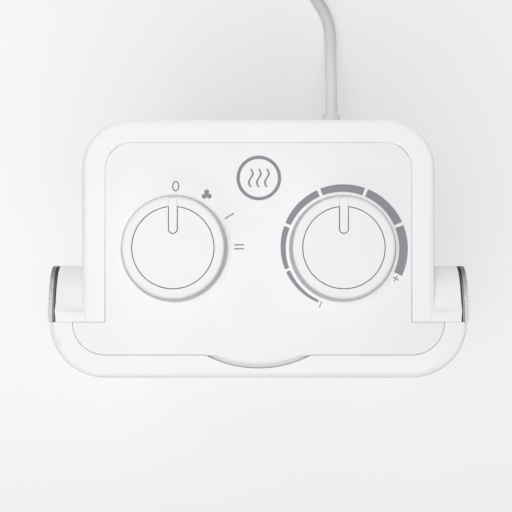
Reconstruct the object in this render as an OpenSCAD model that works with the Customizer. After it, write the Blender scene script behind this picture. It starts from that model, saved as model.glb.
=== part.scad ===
// Upright ceramic fan heater with a flat control deck and two knobs.
// Z is up, the warm air leaves towards -Y, the cord leaves at the rear towards +Y.
// The origin is on the floor, under the middle of the heater.

/* [Overall] */
// Width over the front frame
frame_w = 192; // [184:1:204]
// Depth from the front face to the rear face
body_d = 118.8; // [112:0.2:130]
// Height of the control deck above the floor
deck_z = 235; // [230:1:250]
// Height of the casing's lower edge above the floor
base_z = 4; // [3:0.5:6]
// Wall of the moulded shells
wall = 2.5; // [2.2:0.1:3]
// Gap that shows between the deck and the shells
seam = 0.2; // [0.2:0.05:0.5]
// Gap between pieces that seat on each other
seat_gap = 0.1; // [0.05:0.05:0.2]

/* [Front frame] */
// Radius of the front corners, seen from above
frame_r = 25.5; // [24:0.5:28]
// Width of the rim round the front of the deck
rim_w = 10.3; // [9.5:0.1:11]
// Thickness of the rim and of the flange of the rear housing
rim_t = 3; // [2.4:0.2:3.4]
// Radius of the rounded upper edges
edge_r = 2.2; // [1.4:0.2:2.2]
// Width of the air outlet
outlet_w = 136; // [128:1:138]
// Height of the air outlet
outlet_h = 172; // [166:1:174]
// Corner radius of the air outlet
outlet_r = 14; // [10:1:18]
// Radius of the fingertip notch in the rim
notch_r = 52.3; // [48:0.1:60]
// How far the notch reaches into the rim
notch_depth = 6; // [4:0.2:6.4]
// How far the deck rolls down at the notch
notch_drop = 2.2; // [1.2:0.2:2.4]

/* [Rear housing] */
// How far each side of the rear housing lies in from the side of the front frame
side_step = 14.8; // [13:0.1:16]
// Radius of its rear corners, seen from above
housing_r = 22.5; // [20:0.5:24]
// Width of its flange beside the deck
flange_w = 10.5; // [9.5:0.1:11.5]
// How far each shoulder stands out at the side
shoulder_out = 12.2; // [11.5:0.1:13]
// Depth of a shoulder, and radius of its rounded top and bottom
shoulder_r = 26.3; // [24:0.1:28]
// Wall of a shoulder
shoulder_wall = 2; // [1.6:0.1:2.4]
// Width of the hand recess in the rear wall
grip_w = 84; // [76:1:90]
// Height of the hand recess at its mouth
grip_h = 26; // [24:1:28]
// Depth of the hand recess
grip_d = 18; // [16:0.5:19]
// Width of the rear air inlet
inlet_w = 100; // [90:1:106]
// Height of the rear air inlet
inlet_h = 104; // [96:1:112]

/* [Grilles] */
// Distance across the flats of an outlet cell
cell_w = 9.4; // [8.6:0.2:10]
// Thickness of the ribs between the outlet cells
cell_rib = 1.8; // [1.6:0.2:2.4]
// Depth of the outlet grille
grille_t = 3; // [2.4:0.2:3.2]
// How far the outlet grille lies behind the front face
grille_recess = 1.4; // [1:0.2:1.8]
// Thickness of the face plate of a side grille
side_plate_t = 1.9; // [1.6:0.1:2.2]
// Width of the shadow gap behind that face plate
side_gap = 1.5; // [1.2:0.1:1.7]
// Height of one louvre slot
slot_h = 3.2; // [2.6:0.2:3.6]
// Spacing of the louvre slots
slot_pitch = 6.4; // [6:0.2:7.2]

/* [Deck] */
// Thickness of the deck
deck_t = 3; // [2.4:0.2:3.4]
// Distance of each knob from the middle
knob_x = 38.7; // [36:0.1:41]
// Height of the bosses under the deck that carry the switch and the thermostat
stand_h = 4; // [3:0.5:5]

/* [Knobs] */
// Radius of a knob at its foot
knob_foot_r = 24.6; // [23.5:0.1:25.5]
// Radius of a knob at its top
knob_top_r = 23.2; // [22:0.1:23.4]
// Height of a knob
knob_h = 14.3; // [13:0.1:16]
// Running gap between a knob and the deck
knob_gap = 0.7; // [0.5:0.1:1]
// Radius of the cap in a knob's top
cap_r = 18.8; // [17:0.1:19.5]
// Thickness of that cap
cap_t = 1.6; // [1.2:0.1:2]
// Width of the pointer rib
pointer_w = 3.7; // [3:0.1:4.4]
// Distance from the knob's axis to the round end of the pointer
pointer_in = 6.6; // [6:0.1:8]
// Radius of a knob spindle
spindle_r = 3; // [2.8:0.1:3.2]
// Running clearance round a spindle
spindle_gap = 0.05; // [0.03:0.01:0.08]

/* [Heater] */
// Width of the frame that holds the heating core
core_frame_w = 128; // [124:1:132]
// Thickness of the frame's rails
core_rail = 9; // [8:0.5:10]
// Depth of the heating core
core_t = 12; // [11:0.5:13]
// Number of heating bars
bars = 4; // [3:1:5]
// Height of one heating bar
bar_h = 6.4; // [6:0.2:8]
// Pitch of the folds in the fins
fin_pitch = 4; // [3.6:0.1:6]
// Thickness of the fin sheet
fin_t = 0.5; // [0.4:0.1:0.7]

/* [Fan and motor] */
// Radius of the fan at its blade tips
fan_r = 55; // [50:0.5:56]
// Radius of the fan's hub
hub_r = 13; // [12:0.5:15]
// Number of blades
blades = 7; // [5:1:9]
// Pitch angle of the blades
blade_pitch = 32; // [26:1:36]
// Gap between the blade tips and the duct
tip_gap = 2.5; // [2:0.1:3]
// Wall of the duct ring
duct_wall = 2.5; // [2:0.1:3]
// Radius of the motor shaft
shaft_r = 2; // [1.8:0.1:2.4]
// Radius of the motor's rotor
rotor_r = 13; // [12:0.2:13.4]
// Depth of the stack of laminations
stack_t = 14; // [12:0.5:16]

/* [Base] */
// Thickness of the base plate
plate_t = 2.5; // [2:0.1:3]
// Radius of a rubber foot
foot_r = 9; // [8:0.5:10]
// Radius of the tip-over plunger
plunger_r = 3.5; // [3:0.1:4]
// Travel of that plunger
plunger_travel = 4; // [3:0.5:4.5]

/* [Cord] */
// Diameter of the cord
cord_d = 7; // [6:0.5:7]
// Outer radius of the coil, to the middle of the cord
coil_r = 44; // [42:1:48]
// Least gap between the turns of the coil
turn_gap = 0.6; // [0.5:0.1:0.9]
// Distance of the cord from the middle of the heater
cord_x = 42; // [42:1:42]
// Height at which the cord leaves the housing
cord_z = 19; // [19:1:19]
// Radius of the plug's body
plug_r = 18.5; // [17:0.5:19]

/* [Hidden] */
$fn = 64;
// A little more than nothing, so that cuts pass through a face
e = 0.5;

// Planes and outlines of the casing
front_y = -body_d / 2;
rear_y = body_d / 2;
split_y = front_y + frame_r;
parting = 0.1;
frame_x = frame_w / 2 - frame_r;
housing_x = frame_w / 2 - side_step;
shoulder_x = housing_x + shoulder_out;
side_x = shoulder_x + side_gap + side_plate_t;
mid_z = (deck_z + base_z) / 2;
deck_under = deck_z - deck_t;

// Ledges that the deck and the base plate seat on
ledge_t = 2.5;
ledge_in = 3.6;
ledge_root = 2.4;
ledge_z = deck_under - 0.3;
flange_in = 13;
flange_z = base_z + plate_t + seat_gap;
flange_t = 2.4;

// Screws that join the shells, from the rear, in towers that stand clear of the switch
tower_r = 5.5;
tower_clear = 0.8;
switch_w = 30;
tower_x = knob_x + switch_w / 2 + tower_clear + tower_r;
tower_low = 22;
tower_high = deck_z - 21;
tower_y = -15;
tower_gap = 0.3;
tower_floor = 3;
tower_grip = 14;
screw_r = 1.65;
screw_gap = 0.1;
screw_head_r = 3.4;
screw_head_h = 2.4;
small_head_r = 3;
small_head_h = 1.8;
boss_r = 4.5;

// Baffle, duct ring and heating core, one behind the other
baffle_t = 2.5;
head_room = 2.4;
baffle_y = split_y - head_room - baffle_t;
baffle_low = base_z + 7.5;
baffle_high = ledge_z - ledge_t - 1;
ring_r = fan_r + tip_gap;
ring_end = 2;
duct_boss_x = frame_w / 2 - 14;
duct_boss_z = 60;
duct_boss_r = 4;
core_lip = 1;
core_y = baffle_y - seat_gap - core_t - core_lip;
core_w = core_frame_w - 2 * core_rail;
fin_h = (core_w - bars * bar_h) / (2 * bars) - seat_gap;
stone_t = 2.4;
bar_wall = 1.2;
bar_in = 0.5;
stone_count = 5;
ear_x = core_frame_w / 2 - 4;
ear_z = core_frame_w / 2 + 4;
wire_r = 1.1;
wire_hole = [knob_x, deck_z - 38];
wire_hole_r = 4;

// Side and rear grilles
side_fit = 0.3;
side_in = shoulder_r - shoulder_wall - side_fit;
spigot_t = 3;
slot_end = 3.4;
inlet_r = 10;
louvre_side = 9;
rear_grille_z = mid_z;
grille_fit = 0.3;
grille_margin = 4;
flap = 2;
lip_t = 1.5;

// Knobs and what they turn
knob_z = deck_z + knob_gap;
knob_top = knob_z + knob_h;
shaft_top = knob_top - cap_t - 1.8;
flat_at = spindle_r * 0.6;
hub_skin = 2.6;
switch_h = 20;
switch_top = deck_under - stand_h;
cam_r = 8;
cam_h = 4;
bush_r = spindle_r + 2;
tab_w = 4.8;
tab_t = 0.8;
tab_h = 7;
saddle_w = 16;
saddle_d = 30;
saddle_t = 2;
stack_w = 12;
stack_d = 8;
stack_h = 16;
blade_w = 8;
blade_long = 22;
terminal_w = 6.3;
terminal_out = 8;
strip_t = 0.8;
blade_down = 14;
stand_at = 12;
stand_r = 3.2;

// Fan and motor, along Y
fan_front = -29;
fan_len = 22;
spider_y = ring_end + seat_gap;
spider_t = 3;
spider_arm = ring_r + duct_wall + 2.5;
lug_r = 4;
spider_hub_r = 26;
spider_w = 7;
bearing_y = spider_y + spider_t + seat_gap;
bearing_t = 2;
bearing_h = 12;
bush_out_r = 6;
bush_len = 3;
bearing_space = 8;
coil_space = 6;
stack_y = bearing_y + bearing_space;
bearing_rear_y = stack_y + stack_t + coil_space;
air_gap = 0.5;
stay_x = rotor_r + 6;
stay_r = 3.4;
plate_edge = 0.6;
coil_window = [24, 15];
coil_bar = 8;
coil_over = 6.5;
stator_w = 2 * stay_x + 10;
stator_up = rotor_r + 9;
stator_down = rotor_r + air_gap + 3.5 + coil_window[1] + coil_bar;

// Base, feet and the tip-over switch
foot_front_edge = 7.4;
foot_rear_edge = 8.4;
foot_side = 12.2;
foot_corner = 21;
foot_at = [
    [frame_w / 2 - foot_r - foot_corner, front_y + foot_r + foot_front_edge],
    [housing_x - foot_r - foot_side, rear_y - foot_r - foot_rear_edge]
];
foot_stem_r = 3;
base_screw_at = 22;
base_post_r = 3.6;
base_post_h = 12;
base_post_in = wall + 4.6;
base_screw_long = 10;
tip_y = 24;
tip_body_w = 16;
tip_body_h = 24;
tip_wall = 2;
collar_h = 2;
collar_out = 1.7;
pin_r = 1.6;
pin_h = 4;
spring_turns = 8;
spring_wire_r = 0.4;
spring_gap = 0.6;
collar_z = base_z + plate_t + plunger_travel + spring_gap;
block = [24, 15.6, 15];
block_gap = 0.5;
block_x = tower_x - tower_r - block_gap - block[0];
block_y = 24;
block_hole_r = 2.4;

// Cord, coil and plug
cord_r = cord_d / 2;
cord_floor = cord_r;
cord_route = [
    [cord_x, 40, cord_z], [cord_x, 60, cord_z], [cord_x, 86, cord_z], [cord_x, 98, 16],
    [cord_x, 110, 10], [cord_x, 120, 5.8], [cord_x, 129, 3.9], [41, 137, cord_floor],
    [38.5, 144, cord_floor], [35, 150, cord_floor], [31, 156, cord_floor],
    [26, 162, cord_floor], [21, 167, cord_floor]
];
cord_last = cord_route[len(cord_route) - 1];
turn_pitch = cord_d + turn_gap;
coil_lead = 8;
coil_layers = 4;
coil_start = 225;
coil_turns = 6 - 15 / 360;
layer_turns = coil_turns / coil_layers;
coil_steps = 24;
coil_mid = [
    cord_last[0] + (coil_r - coil_lead) * cos(45),
    cord_last[1] + (coil_r + coil_lead) * cos(45)
];
coil_top = cord_floor + (coil_layers - 1) * turn_pitch;
lead_angle = coil_start - 360 * coil_turns - 90;
lead_length = 54;
plug_z = plug_r + 0.1;
lead_steps = 6;
gland_len = 24;
gland_neck_r = 7;
gland_flange = 2.4;

// Small helpers

// Rectangle with round corners, about the origin
module rounded(w, h, r) {
    square([w - 2 * r, h], center = true);
    square([w, h - 2 * r], center = true);
    for (sx = [-1, 1], sy = [-1, 1])
        translate([sx * (w / 2 - r), sy * (h / 2 - r)]) circle(r);
}

// What a rounding of radius r takes off a square corner at the origin
module edge_off(r) {
    translate([-r, -r]) difference() {
        square(r + e);
        circle(r);
    }
}

// Draws its children along Y: the flat shape's x stays X, its y becomes Z
module along_y(y, length) {
    translate([0, y + length, 0]) rotate([90, 0, 0]) linear_extrude(length) children();
}

// Draws its children along X: the flat shape's x becomes Y, its y becomes Z
module along_x(x, length) {
    translate([x, 0, 0]) rotate([90, 0, 90]) linear_extrude(length) children();
}

// Round bar along Y
module rod_y(x, y, z, r, length) {
    translate([x, y, z]) rotate([-90, 0, 0]) cylinder(r = r, h = length);
}

// The piece and its mirror image at the other side
module both_sides() {
    children();
    mirror([1, 0, 0]) children();
}

// Outline of the front frame seen from above, drawn in by inset, up to the plane back
module plan_front(inset, back = split_y) {
    r = frame_r - inset;
    intersection() {
        union() {
            translate([-frame_x, front_y + inset]) square([2 * frame_x, r + e]);
            for (s = [-1, 1]) translate([s * frame_x, split_y]) circle(r);
        }
        translate([-frame_w, front_y - e]) square([2 * frame_w, back - front_y + e]);
    }
}

// Outline of the rear housing seen from above, drawn in by inset, from the plane start
module plan_rear(inset, start = split_y) {
    x = housing_x - inset;
    corner_y = rear_y - housing_r;
    corner_x = housing_x - housing_r;
    translate([-x, start]) square([2 * x, corner_y - start]);
    translate([-corner_x, start]) square([2 * corner_x, rear_y - inset - start]);
    for (s = [-1, 1]) translate([s * corner_x, corner_y]) circle(housing_r - inset);
}

// Half-round side outline of a shoulder in the plane x = Y, y = Z, drawn in by inset
module shoulder_side(inset) {
    r = shoulder_r - inset;
    low = base_z + shoulder_r;
    high = deck_z - shoulder_r;
    intersection() {
        union() {
            translate([split_y - r, low]) square([2 * r, high - low]);
            for (z = [low, high]) translate([split_y, z]) circle(r);
        }
        translate([split_y + parting, 0]) square([2 * shoulder_r, 2 * deck_z]);
    }
}

// Cross-section of a shell's wall: outer face at x = 0, inside towards -x, y = Z
module shell_section(rim) {
    difference() {
        union() {
            translate([-wall, base_z]) square([wall, deck_z - base_z]);
            translate([-rim, deck_z - rim_t]) square([rim, rim_t]);
            translate([-rim, ledge_z - ledge_t])
                square([ledge_root, deck_z - rim_t - ledge_z + ledge_t + e]);
            translate([-rim - ledge_in, ledge_z - ledge_t])
                square([ledge_in + ledge_root, ledge_t]);
            translate([-flange_in, flange_z]) square([flange_in, flange_t]);
        }
        translate([0, deck_z]) edge_off(edge_r);
        translate([0, base_z]) mirror([0, 1]) edge_off(edge_r / 2);
    }
}

// Front frame: one moulding that wraps the front corners, with the air outlet in its face
module front_frame() {
    color("white") difference() {
        union() {
            difference() {
                union() {
                    translate([-frame_x, front_y, 0]) rotate([90, 0, 90])
                        linear_extrude(2 * frame_x) mirror([1, 0]) shell_section(rim_w);
                    both_sides() translate([frame_x, split_y, 0]) rotate(-90)
                        rotate_extrude(angle = 90) translate([frame_r, 0])
                            shell_section(rim_w);
                }
                translate([0, front_y + rim_w - notch_depth + notch_r, ledge_z + e / 4])
                    cylinder(r = notch_r, h = deck_z);
            }
            for (s = [-1, 1], z = [tower_low, tower_high])
                rod_y(s * tower_x, front_y + wall / 2, z, boss_r,
                      tower_y - tower_gap - front_y - wall / 2);
            intersection() {
                for (s = [-1, 1], z = [duct_boss_z, 2 * mid_z - duct_boss_z])
                    rod_y(s * duct_boss_x, front_y, z, duct_boss_r, baffle_y - seat_gap - front_y);
                linear_extrude(deck_z) plan_front(wall / 2);
            }
            for (s = [-1, 1]) translate([s * base_screw_at, front_y + base_post_in, flange_z])
                cylinder(r = base_post_r, h = base_post_h);
        }
        // Air outlet, and behind it the seat of the grille's flange
        along_y(front_y - e, 2 * wall + 2 * e) translate([0, mid_z])
            rounded(outlet_w, outlet_h, outlet_r);
        along_y(front_y + wall + seat_gap / 2, lip_t + seat_gap) translate([0, mid_z])
            rounded(outlet_w + 2 * flap + 2 * grille_fit, outlet_h + 2 * flap + 2 * grille_fit,
                    outlet_r + flap + grille_fit);
        for (s = [-1, 1], z = [tower_low, tower_high])
            rod_y(s * tower_x, tower_y - tower_grip - 6, z, screw_r + screw_gap, tower_grip + 6);
        for (s = [-1, 1], z = [duct_boss_z, 2 * mid_z - duct_boss_z])
            rod_y(s * duct_boss_x, baffle_y - 12, z, screw_r + screw_gap, 12);
        for (s = [-1, 1]) translate([s * base_screw_at, front_y + base_post_in, 0])
            cylinder(r = screw_r + screw_gap, h = flange_z + base_screw_long);
    }
}

// One row of six-sided outlet cells
module cell_row(count, z) {
    pitch = cell_w + cell_rib;
    for (i = [0 : count - 1])
        translate([(i - (count - 1) / 2) * pitch, z])
            rotate(30) circle(r = cell_w / sqrt(3), $fn = 6);
}

// Outlet grille: a honeycomb moulding that seats in the outlet from behind
module front_grille() {
    pitch = cell_w + cell_rib;
    rise = pitch * sqrt(3) / 2;
    margin = grille_margin;
    rows = floor((outlet_h - 2 * margin - cell_w / 2) / rise / 2) * 2 + 1;
    count = floor((outlet_w - 2 * margin - cell_w) / pitch) + 1;
    plate_y = front_y + grille_recess;
    color("#3a3c40") union() {
        difference() {
            along_y(plate_y, grille_t) translate([0, mid_z])
                rounded(outlet_w - 2 * grille_fit, outlet_h - 2 * grille_fit,
                        outlet_r - grille_fit);
            along_y(plate_y - e, grille_t + 2 * e) translate([0, mid_z]) intersection() {
                for (k = [0 : rows - 1])
                    cell_row(count + k % 2, (k - (rows - 1) / 2) * rise);
                rounded(outlet_w - 2 * margin, outlet_h - 2 * margin, outlet_r - margin);
            }
        }
        difference() {
            along_y(front_y + wall + seat_gap, lip_t) translate([0, mid_z])
                rounded(outlet_w + 2 * flap, outlet_h + 2 * flap, outlet_r + flap);
            along_y(front_y, 2 * wall + lip_t) translate([0, mid_z])
                rounded(outlet_w - 2 * margin, outlet_h - 2 * margin, outlet_r - margin);
        }
    }
}

// Rear housing: side walls, rear corners and rear wall in one moulding, with shoulders
module rear_housing() {
    corner_x = housing_x - housing_r;
    corner_y = rear_y - housing_r;
    start = split_y + parting;
    window_edge = 4;
    window_end = 24;
    grip_z = deck_z - 26;
    grip_wall = 2;
    grip_r = 8;
    color("white") difference() {
        union() {
            // Side walls, corners and rear wall share one cross-section
            both_sides() translate([housing_x, corner_y, 0]) rotate([90, 0, 0])
                linear_extrude(corner_y - start) shell_section(flange_w);
            both_sides() translate([corner_x, corner_y, 0])
                rotate_extrude(angle = 90) translate([housing_r, 0]) shell_section(flange_w);
            translate([-corner_x, rear_y, 0]) rotate([90, 0, 90])
                linear_extrude(2 * corner_x) shell_section(flange_w);
            // Shoulders, open at the side for the side grilles
            both_sides() difference() {
                along_x(housing_x - wall / 2, shoulder_out + wall / 2) shoulder_side(0);
                along_x(housing_x - wall, shoulder_out + 2 * wall) shoulder_side(shoulder_wall);
            }
            // Screw towers, which end inside the rear wall and its corners
            intersection() {
                for (s = [-1, 1], z = [tower_low, tower_high])
                    rod_y(s * tower_x, tower_y, z, tower_r, body_d);
                linear_extrude(deck_z) plan_rear(wall / 2);
            }
            // Pocket of the hand recess
            along_y(rear_y - grip_d - grip_wall, grip_d + grip_wall / 2) translate([0, grip_z])
                rounded(grip_w + 2 * grip_wall, grip_h + 2 * grip_wall, grip_r + grip_wall);
            for (s = [-1, 1]) translate([s * base_screw_at, rear_y - base_post_in, flange_z])
                cylinder(r = base_post_r, h = base_post_h);
        }
        // Mouth of the hand recess, and the undercut that the fingertips hook into
        along_y(rear_y - grip_d, grip_d + e) translate([0, grip_z])
            rounded(grip_w, grip_h, grip_r);
        // Rear air inlet
        along_y(rear_y - wall - e, wall + 2 * e) translate([0, rear_grille_z])
            rounded(inlet_w, inlet_h, inlet_r);
        // Windows behind the side grilles, and the clear sides of the shoulders
        both_sides() along_x(housing_x - wall - e, wall + 2 * e)
            translate([split_y + parting + window_edge, base_z + window_end])
                square([shoulder_r - shoulder_wall - 2 * window_edge,
                        deck_z - base_z - 2 * window_end]);
        for (s = [-1, 1], z = [tower_low, tower_high]) {
            rod_y(s * tower_x, tower_y + tower_floor, z, screw_head_r + 0.5, body_d);
            rod_y(s * tower_x, tower_y - e, z, screw_r + screw_gap, tower_floor + 2 * e);
        }
        for (s = [-1, 1]) translate([s * base_screw_at, rear_y - base_post_in, 0])
            cylinder(r = screw_r + screw_gap, h = flange_z + base_screw_long);
        // Hole for the cord gland
        rod_y(cord_x, rear_y - wall - e, cord_z, gland_neck_r + 0.15, wall + 2 * e);
    }
}

// Side grille: a face plate that stands off its spigot by a shadow gap
module side_grille() {
    low = base_z + shoulder_r;
    high = deck_z - shoulder_r;
    slots = floor((high - low) / slot_pitch);
    color("#55585c") difference() {
        union() {
            along_x(side_x - side_plate_t, side_plate_t) shoulder_side(0);
            along_x(shoulder_x - spigot_t, spigot_t + side_gap + e / 2)
                shoulder_side(shoulder_wall + side_fit);
        }
        for (i = [0 : slots])
            translate([shoulder_x - 2 * spigot_t,
                       split_y + parting + slot_end,
                       mid_z + (i - slots / 2) * slot_pitch - slot_h / 2])
                cube([6 * spigot_t, side_in - 2 * slot_end, slot_h]);
    }
}

module side_grille_right() {
    side_grille();
}

module side_grille_left() {
    mirror([1, 0, 0]) side_grille();
}

// Rear grille: louvres across the rear inlet, seated from inside
module rear_grille() {
    slots = floor((inlet_h - 12) / slot_pitch);
    color("#f2f2f2") difference() {
        union() {
            along_y(rear_y - wall - seat_gap, wall) translate([0, rear_grille_z])
                rounded(inlet_w - 2 * grille_fit, inlet_h - 2 * grille_fit, inlet_r - grille_fit);
            along_y(rear_y - wall - seat_gap - lip_t, lip_t) translate([0, rear_grille_z])
                rounded(inlet_w + 2 * flap, inlet_h + 2 * flap, inlet_r + flap);
        }
        for (i = [0 : slots - 1], s = [-1, 1])
            translate([s * inlet_w / 4 - (inlet_w / 2 - louvre_side) / 2, rear_y - 3 * wall,
                       rear_grille_z + (i - (slots - 1) / 2) * slot_pitch - slot_h / 2])
                cube([inlet_w / 2 - louvre_side, 4 * wall, slot_h]);
    }
}

// Outline of the deck: the rear panel, the wider front bar and the tongue in the notch
module deck_plan() {
    plan_rear(flange_w + seam, split_y - e);
    plan_front(rim_w + seam, split_y - parting);
    intersection() {
        translate([0, front_y + rim_w - notch_depth + notch_r]) circle(notch_r - seam);
        translate([-notch_r, front_y]) square([2 * notch_r, rim_w + 2]);
    }
}

// Control deck: one flat T-shaped plate that rolls down into the notch
module top_deck() {
    roll_r = (notch_depth * notch_depth + notch_drop * notch_drop) / (2 * notch_drop);
    roll_y = front_y + rim_w;
    color("white") difference() {
        union() {
            translate([0, 0, deck_under]) linear_extrude(deck_t) deck_plan();
            for (s = [-1, 1], y = [-stand_at, stand_at])
                translate([s * knob_x, y, deck_under - stand_h])
                    cylinder(r = stand_r, h = stand_h + e);
        }
        difference() {
            translate([-notch_r, roll_y - 2 * roll_r, deck_z - roll_r])
                cube([2 * notch_r, 2 * roll_r, 2 * roll_r]);
            translate([-notch_r - e, roll_y, deck_z - roll_r]) rotate([0, 90, 0])
                cylinder(r = roll_r, h = 2 * notch_r + 2 * e);
        }
        for (s = [-1, 1]) {
            translate([s * knob_x, 0, deck_under - e])
                cylinder(r = bush_r + 0.6, h = deck_t + 2 * e);
            for (y = [-stand_at, stand_at])
                translate([s * knob_x, y, deck_under - stand_h - e])
                    cylinder(r = screw_r + screw_gap, h = stand_h + deck_t / 2);
        }
    }
}

// Base plate, held up inside both shells
module base_plate() {
    plate_gap = 0.4;
    through = base_z + 2 * plate_t;
    color("#e6e6e6") difference() {
        translate([0, 0, base_z]) linear_extrude(plate_t) {
            plan_front(wall + plate_gap);
            plan_rear(wall + plate_gap, split_y - e);
        }
        for (p = foot_at, s = [-1, 1]) translate([s * p[0], p[1], 0])
            cylinder(r = foot_stem_r + seat_gap, h = through);
        for (s = [-1, 1], y = [front_y + base_post_in, rear_y - base_post_in])
            translate([s * base_screw_at, y, 0]) cylinder(r = screw_r + 0.2, h = through);
        translate([0, tip_y, 0]) cylinder(r = plunger_r + 0.3, h = through);
    }
}

// Rubber feet, each with a stem pushed into the base plate
module rubber_feet() {
    color("#2c2c2e") for (p = foot_at, s = [-1, 1]) translate([s * p[0], p[1], 0]) {
        rotate_extrude() difference() {
            square([foot_r, base_z - seat_gap]);
            translate([foot_r, 0]) mirror([0, 1]) edge_off(foot_r / 9);
        }
        cylinder(r = foot_stem_r, h = base_z + plate_t);
    }
}

// Half cross-section of a knob, turned about its spindle
module knob_profile() {
    round_r = 1.2;
    skin = 2;
    polygon(concat(
        [[0, knob_h - cap_t - hub_skin - 4], [0, knob_h], [knob_top_r - round_r, knob_h]],
        [for (a = [75 : -15 : 0])
            [knob_top_r - round_r + round_r * cos(a), knob_h - round_r + round_r * sin(a)]],
        [[knob_foot_r, 1], [knob_foot_r, 0], [knob_foot_r - skin, 0],
         [knob_top_r - skin, knob_h - cap_t - hub_skin],
         [spindle_r + 2.6, knob_h - cap_t - hub_skin], [spindle_r + 2.6, 1.4],
         [0, 1.4]]
    ));
}

// Shape of the pointer seen from above, widened by more
module pointer_plan(more = 0, reach = knob_top_r - 0.6) {
    w = pointer_w / 2 + more;
    translate([-w, pointer_in + w - more]) square([2 * w, reach - pointer_in - w + more]);
    translate([0, pointer_in + w - more]) circle(w);
}

// Spindle section with its flat
module spindle_plan(r) {
    intersection() {
        circle(r);
        translate([-2 * r, -2 * r]) square([4 * r, 2 * r + flat_at + r - spindle_r]);
    }
}

// Knob: ring, hub with a flatted bore, and the raised pointer
module knob() {
    color("white") difference() {
        union() {
            rotate_extrude() knob_profile();
            translate([0, 0, knob_h - cap_t]) linear_extrude(cap_t + 0.5) pointer_plan();
        }
        difference() {
            translate([0, 0, knob_h - cap_t]) cylinder(r = cap_r, h = 2 * cap_t);
            translate([0, 0, knob_h - 2 * cap_t]) linear_extrude(4 * cap_t) pointer_plan();
        }
        translate([0, 0, -e]) linear_extrude(shaft_top + 0.2 - knob_z + e)
            spindle_plan(spindle_r + spindle_gap);
    }
}

// Cap that fills the ring's top and leaves a slot for the pointer
module knob_cap() {
    color("#f7f7f7") translate([0, 0, knob_h - cap_t + seat_gap]) linear_extrude(cap_t)
        difference() {
            circle(cap_r - 0.2);
            pointer_plan(0.2, cap_r + 2);
        }
}

module mode_knob() {
    translate([-knob_x, 0, knob_z]) knob();
}

module mode_knob_cap() {
    translate([-knob_x, 0, knob_z]) knob_cap();
}

module thermostat_knob() {
    translate([knob_x, 0, knob_z]) knob();
}

module thermostat_knob_cap() {
    translate([knob_x, 0, knob_z]) knob_cap();
}

// Spindle of the rotary switch, with the cam disc that works its contacts
module mode_switch_shaft() {
    color("#d8d4c4") translate([-knob_x, 0, 0]) {
        translate([0, 0, switch_top - switch_h / 2]) cylinder(r = spindle_r, h = switch_h / 2 + 6);
        translate([0, 0, switch_top + 5]) linear_extrude(shaft_top - switch_top - 5)
            spindle_plan(spindle_r);
        translate([0, 0, switch_top - switch_h / 2 - cam_h]) cylinder(r = cam_r, h = cam_h);
    }
}

// Rotary switch: square body with a bush, flange and blade tabs
module mode_switch_body() {
    color("#e9e3d0") translate([-knob_x, 0, 0]) difference() {
        union() {
            translate([-switch_w / 2, -switch_w / 2, switch_top - switch_h])
                cube([switch_w, switch_w, switch_h - seat_gap]);
            translate([0, 0, switch_top - 1]) cylinder(r = bush_r, h = deck_t + stand_h);
            for (k = [-1.5 : 1.5]) translate([1.25 * k * tab_w, 0, switch_top - switch_h])
                translate([-tab_w / 2, -tab_t / 2, -tab_h]) cube([tab_w, tab_t, tab_h + e]);
        }
        translate([0, 0, switch_top - switch_h / 2 - cam_h - 0.3])
            cylinder(r = cam_r + 0.3, h = cam_h + 0.6);
        translate([0, 0, switch_top - switch_h / 2])
            cylinder(r = spindle_r + spindle_gap, h = switch_h);
        for (y = [-stand_at, stand_at]) translate([0, y, switch_top - 4])
            cylinder(r = screw_r + screw_gap, h = 10);
    }
}

// Thermostat: steel saddle, ceramic stack and bush
module thermostat_body() {
    color("#cfcac0") translate([knob_x, 0, 0]) difference() {
        union() {
            translate([-saddle_w / 2, -saddle_d / 2, switch_top - saddle_t])
                cube([saddle_w, saddle_d, saddle_t - seat_gap]);
            translate([0, 0, switch_top - 1.5 * saddle_t])
                cylinder(r = bush_r, h = deck_t + stand_h + saddle_t);
            translate([-stack_w / 2, -bush_r - stack_d, switch_top - saddle_t / 2 - stack_h])
                cube([stack_w, stack_d, stack_h]);
            translate([-bush_r, bush_r, switch_top - saddle_t / 2 - stack_h / 2])
                cube([2 * bush_r, 3, stack_h / 2]);
        }
        translate([0, 0, switch_top - switch_h])
            cylinder(r = spindle_r + spindle_gap, h = 2 * switch_h);
        for (y = [-stand_at, stand_at]) translate([0, y, switch_top - 3 * saddle_t])
            cylinder(r = screw_r + screw_gap, h = 5 * saddle_t);
    }
}

// Bimetal blade that the spindle presses
module thermostat_bimetal() {
    color("#b98d52") translate([knob_x, 0, switch_top - blade_down]) {
        translate([-blade_w / 2, seat_gap - bush_r, 0]) cube([blade_w, blade_long, strip_t]);
        translate([0, blade_long - bush_r - 3, -2 * strip_t])
            cylinder(r = blade_w / 4, h = 2 * strip_t + e / 2);
    }
}

// Spindle of the thermostat, with a collar under the saddle
module thermostat_spindle() {
    cone_h = 4;
    color("#c9ccd0") translate([knob_x, 0, 0]) {
        translate([0, 0, switch_top - cone_h - 5]) cylinder(r = spindle_r, h = cone_h + 11);
        translate([0, 0, switch_top + 5]) linear_extrude(shaft_top - switch_top - 5)
            spindle_plan(spindle_r);
        translate([0, 0, switch_top - blade_down + strip_t + spring_gap / 2])
            cylinder(r1 = 0.4 * spindle_r, r2 = spindle_r, h = cone_h);
    }
}

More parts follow.
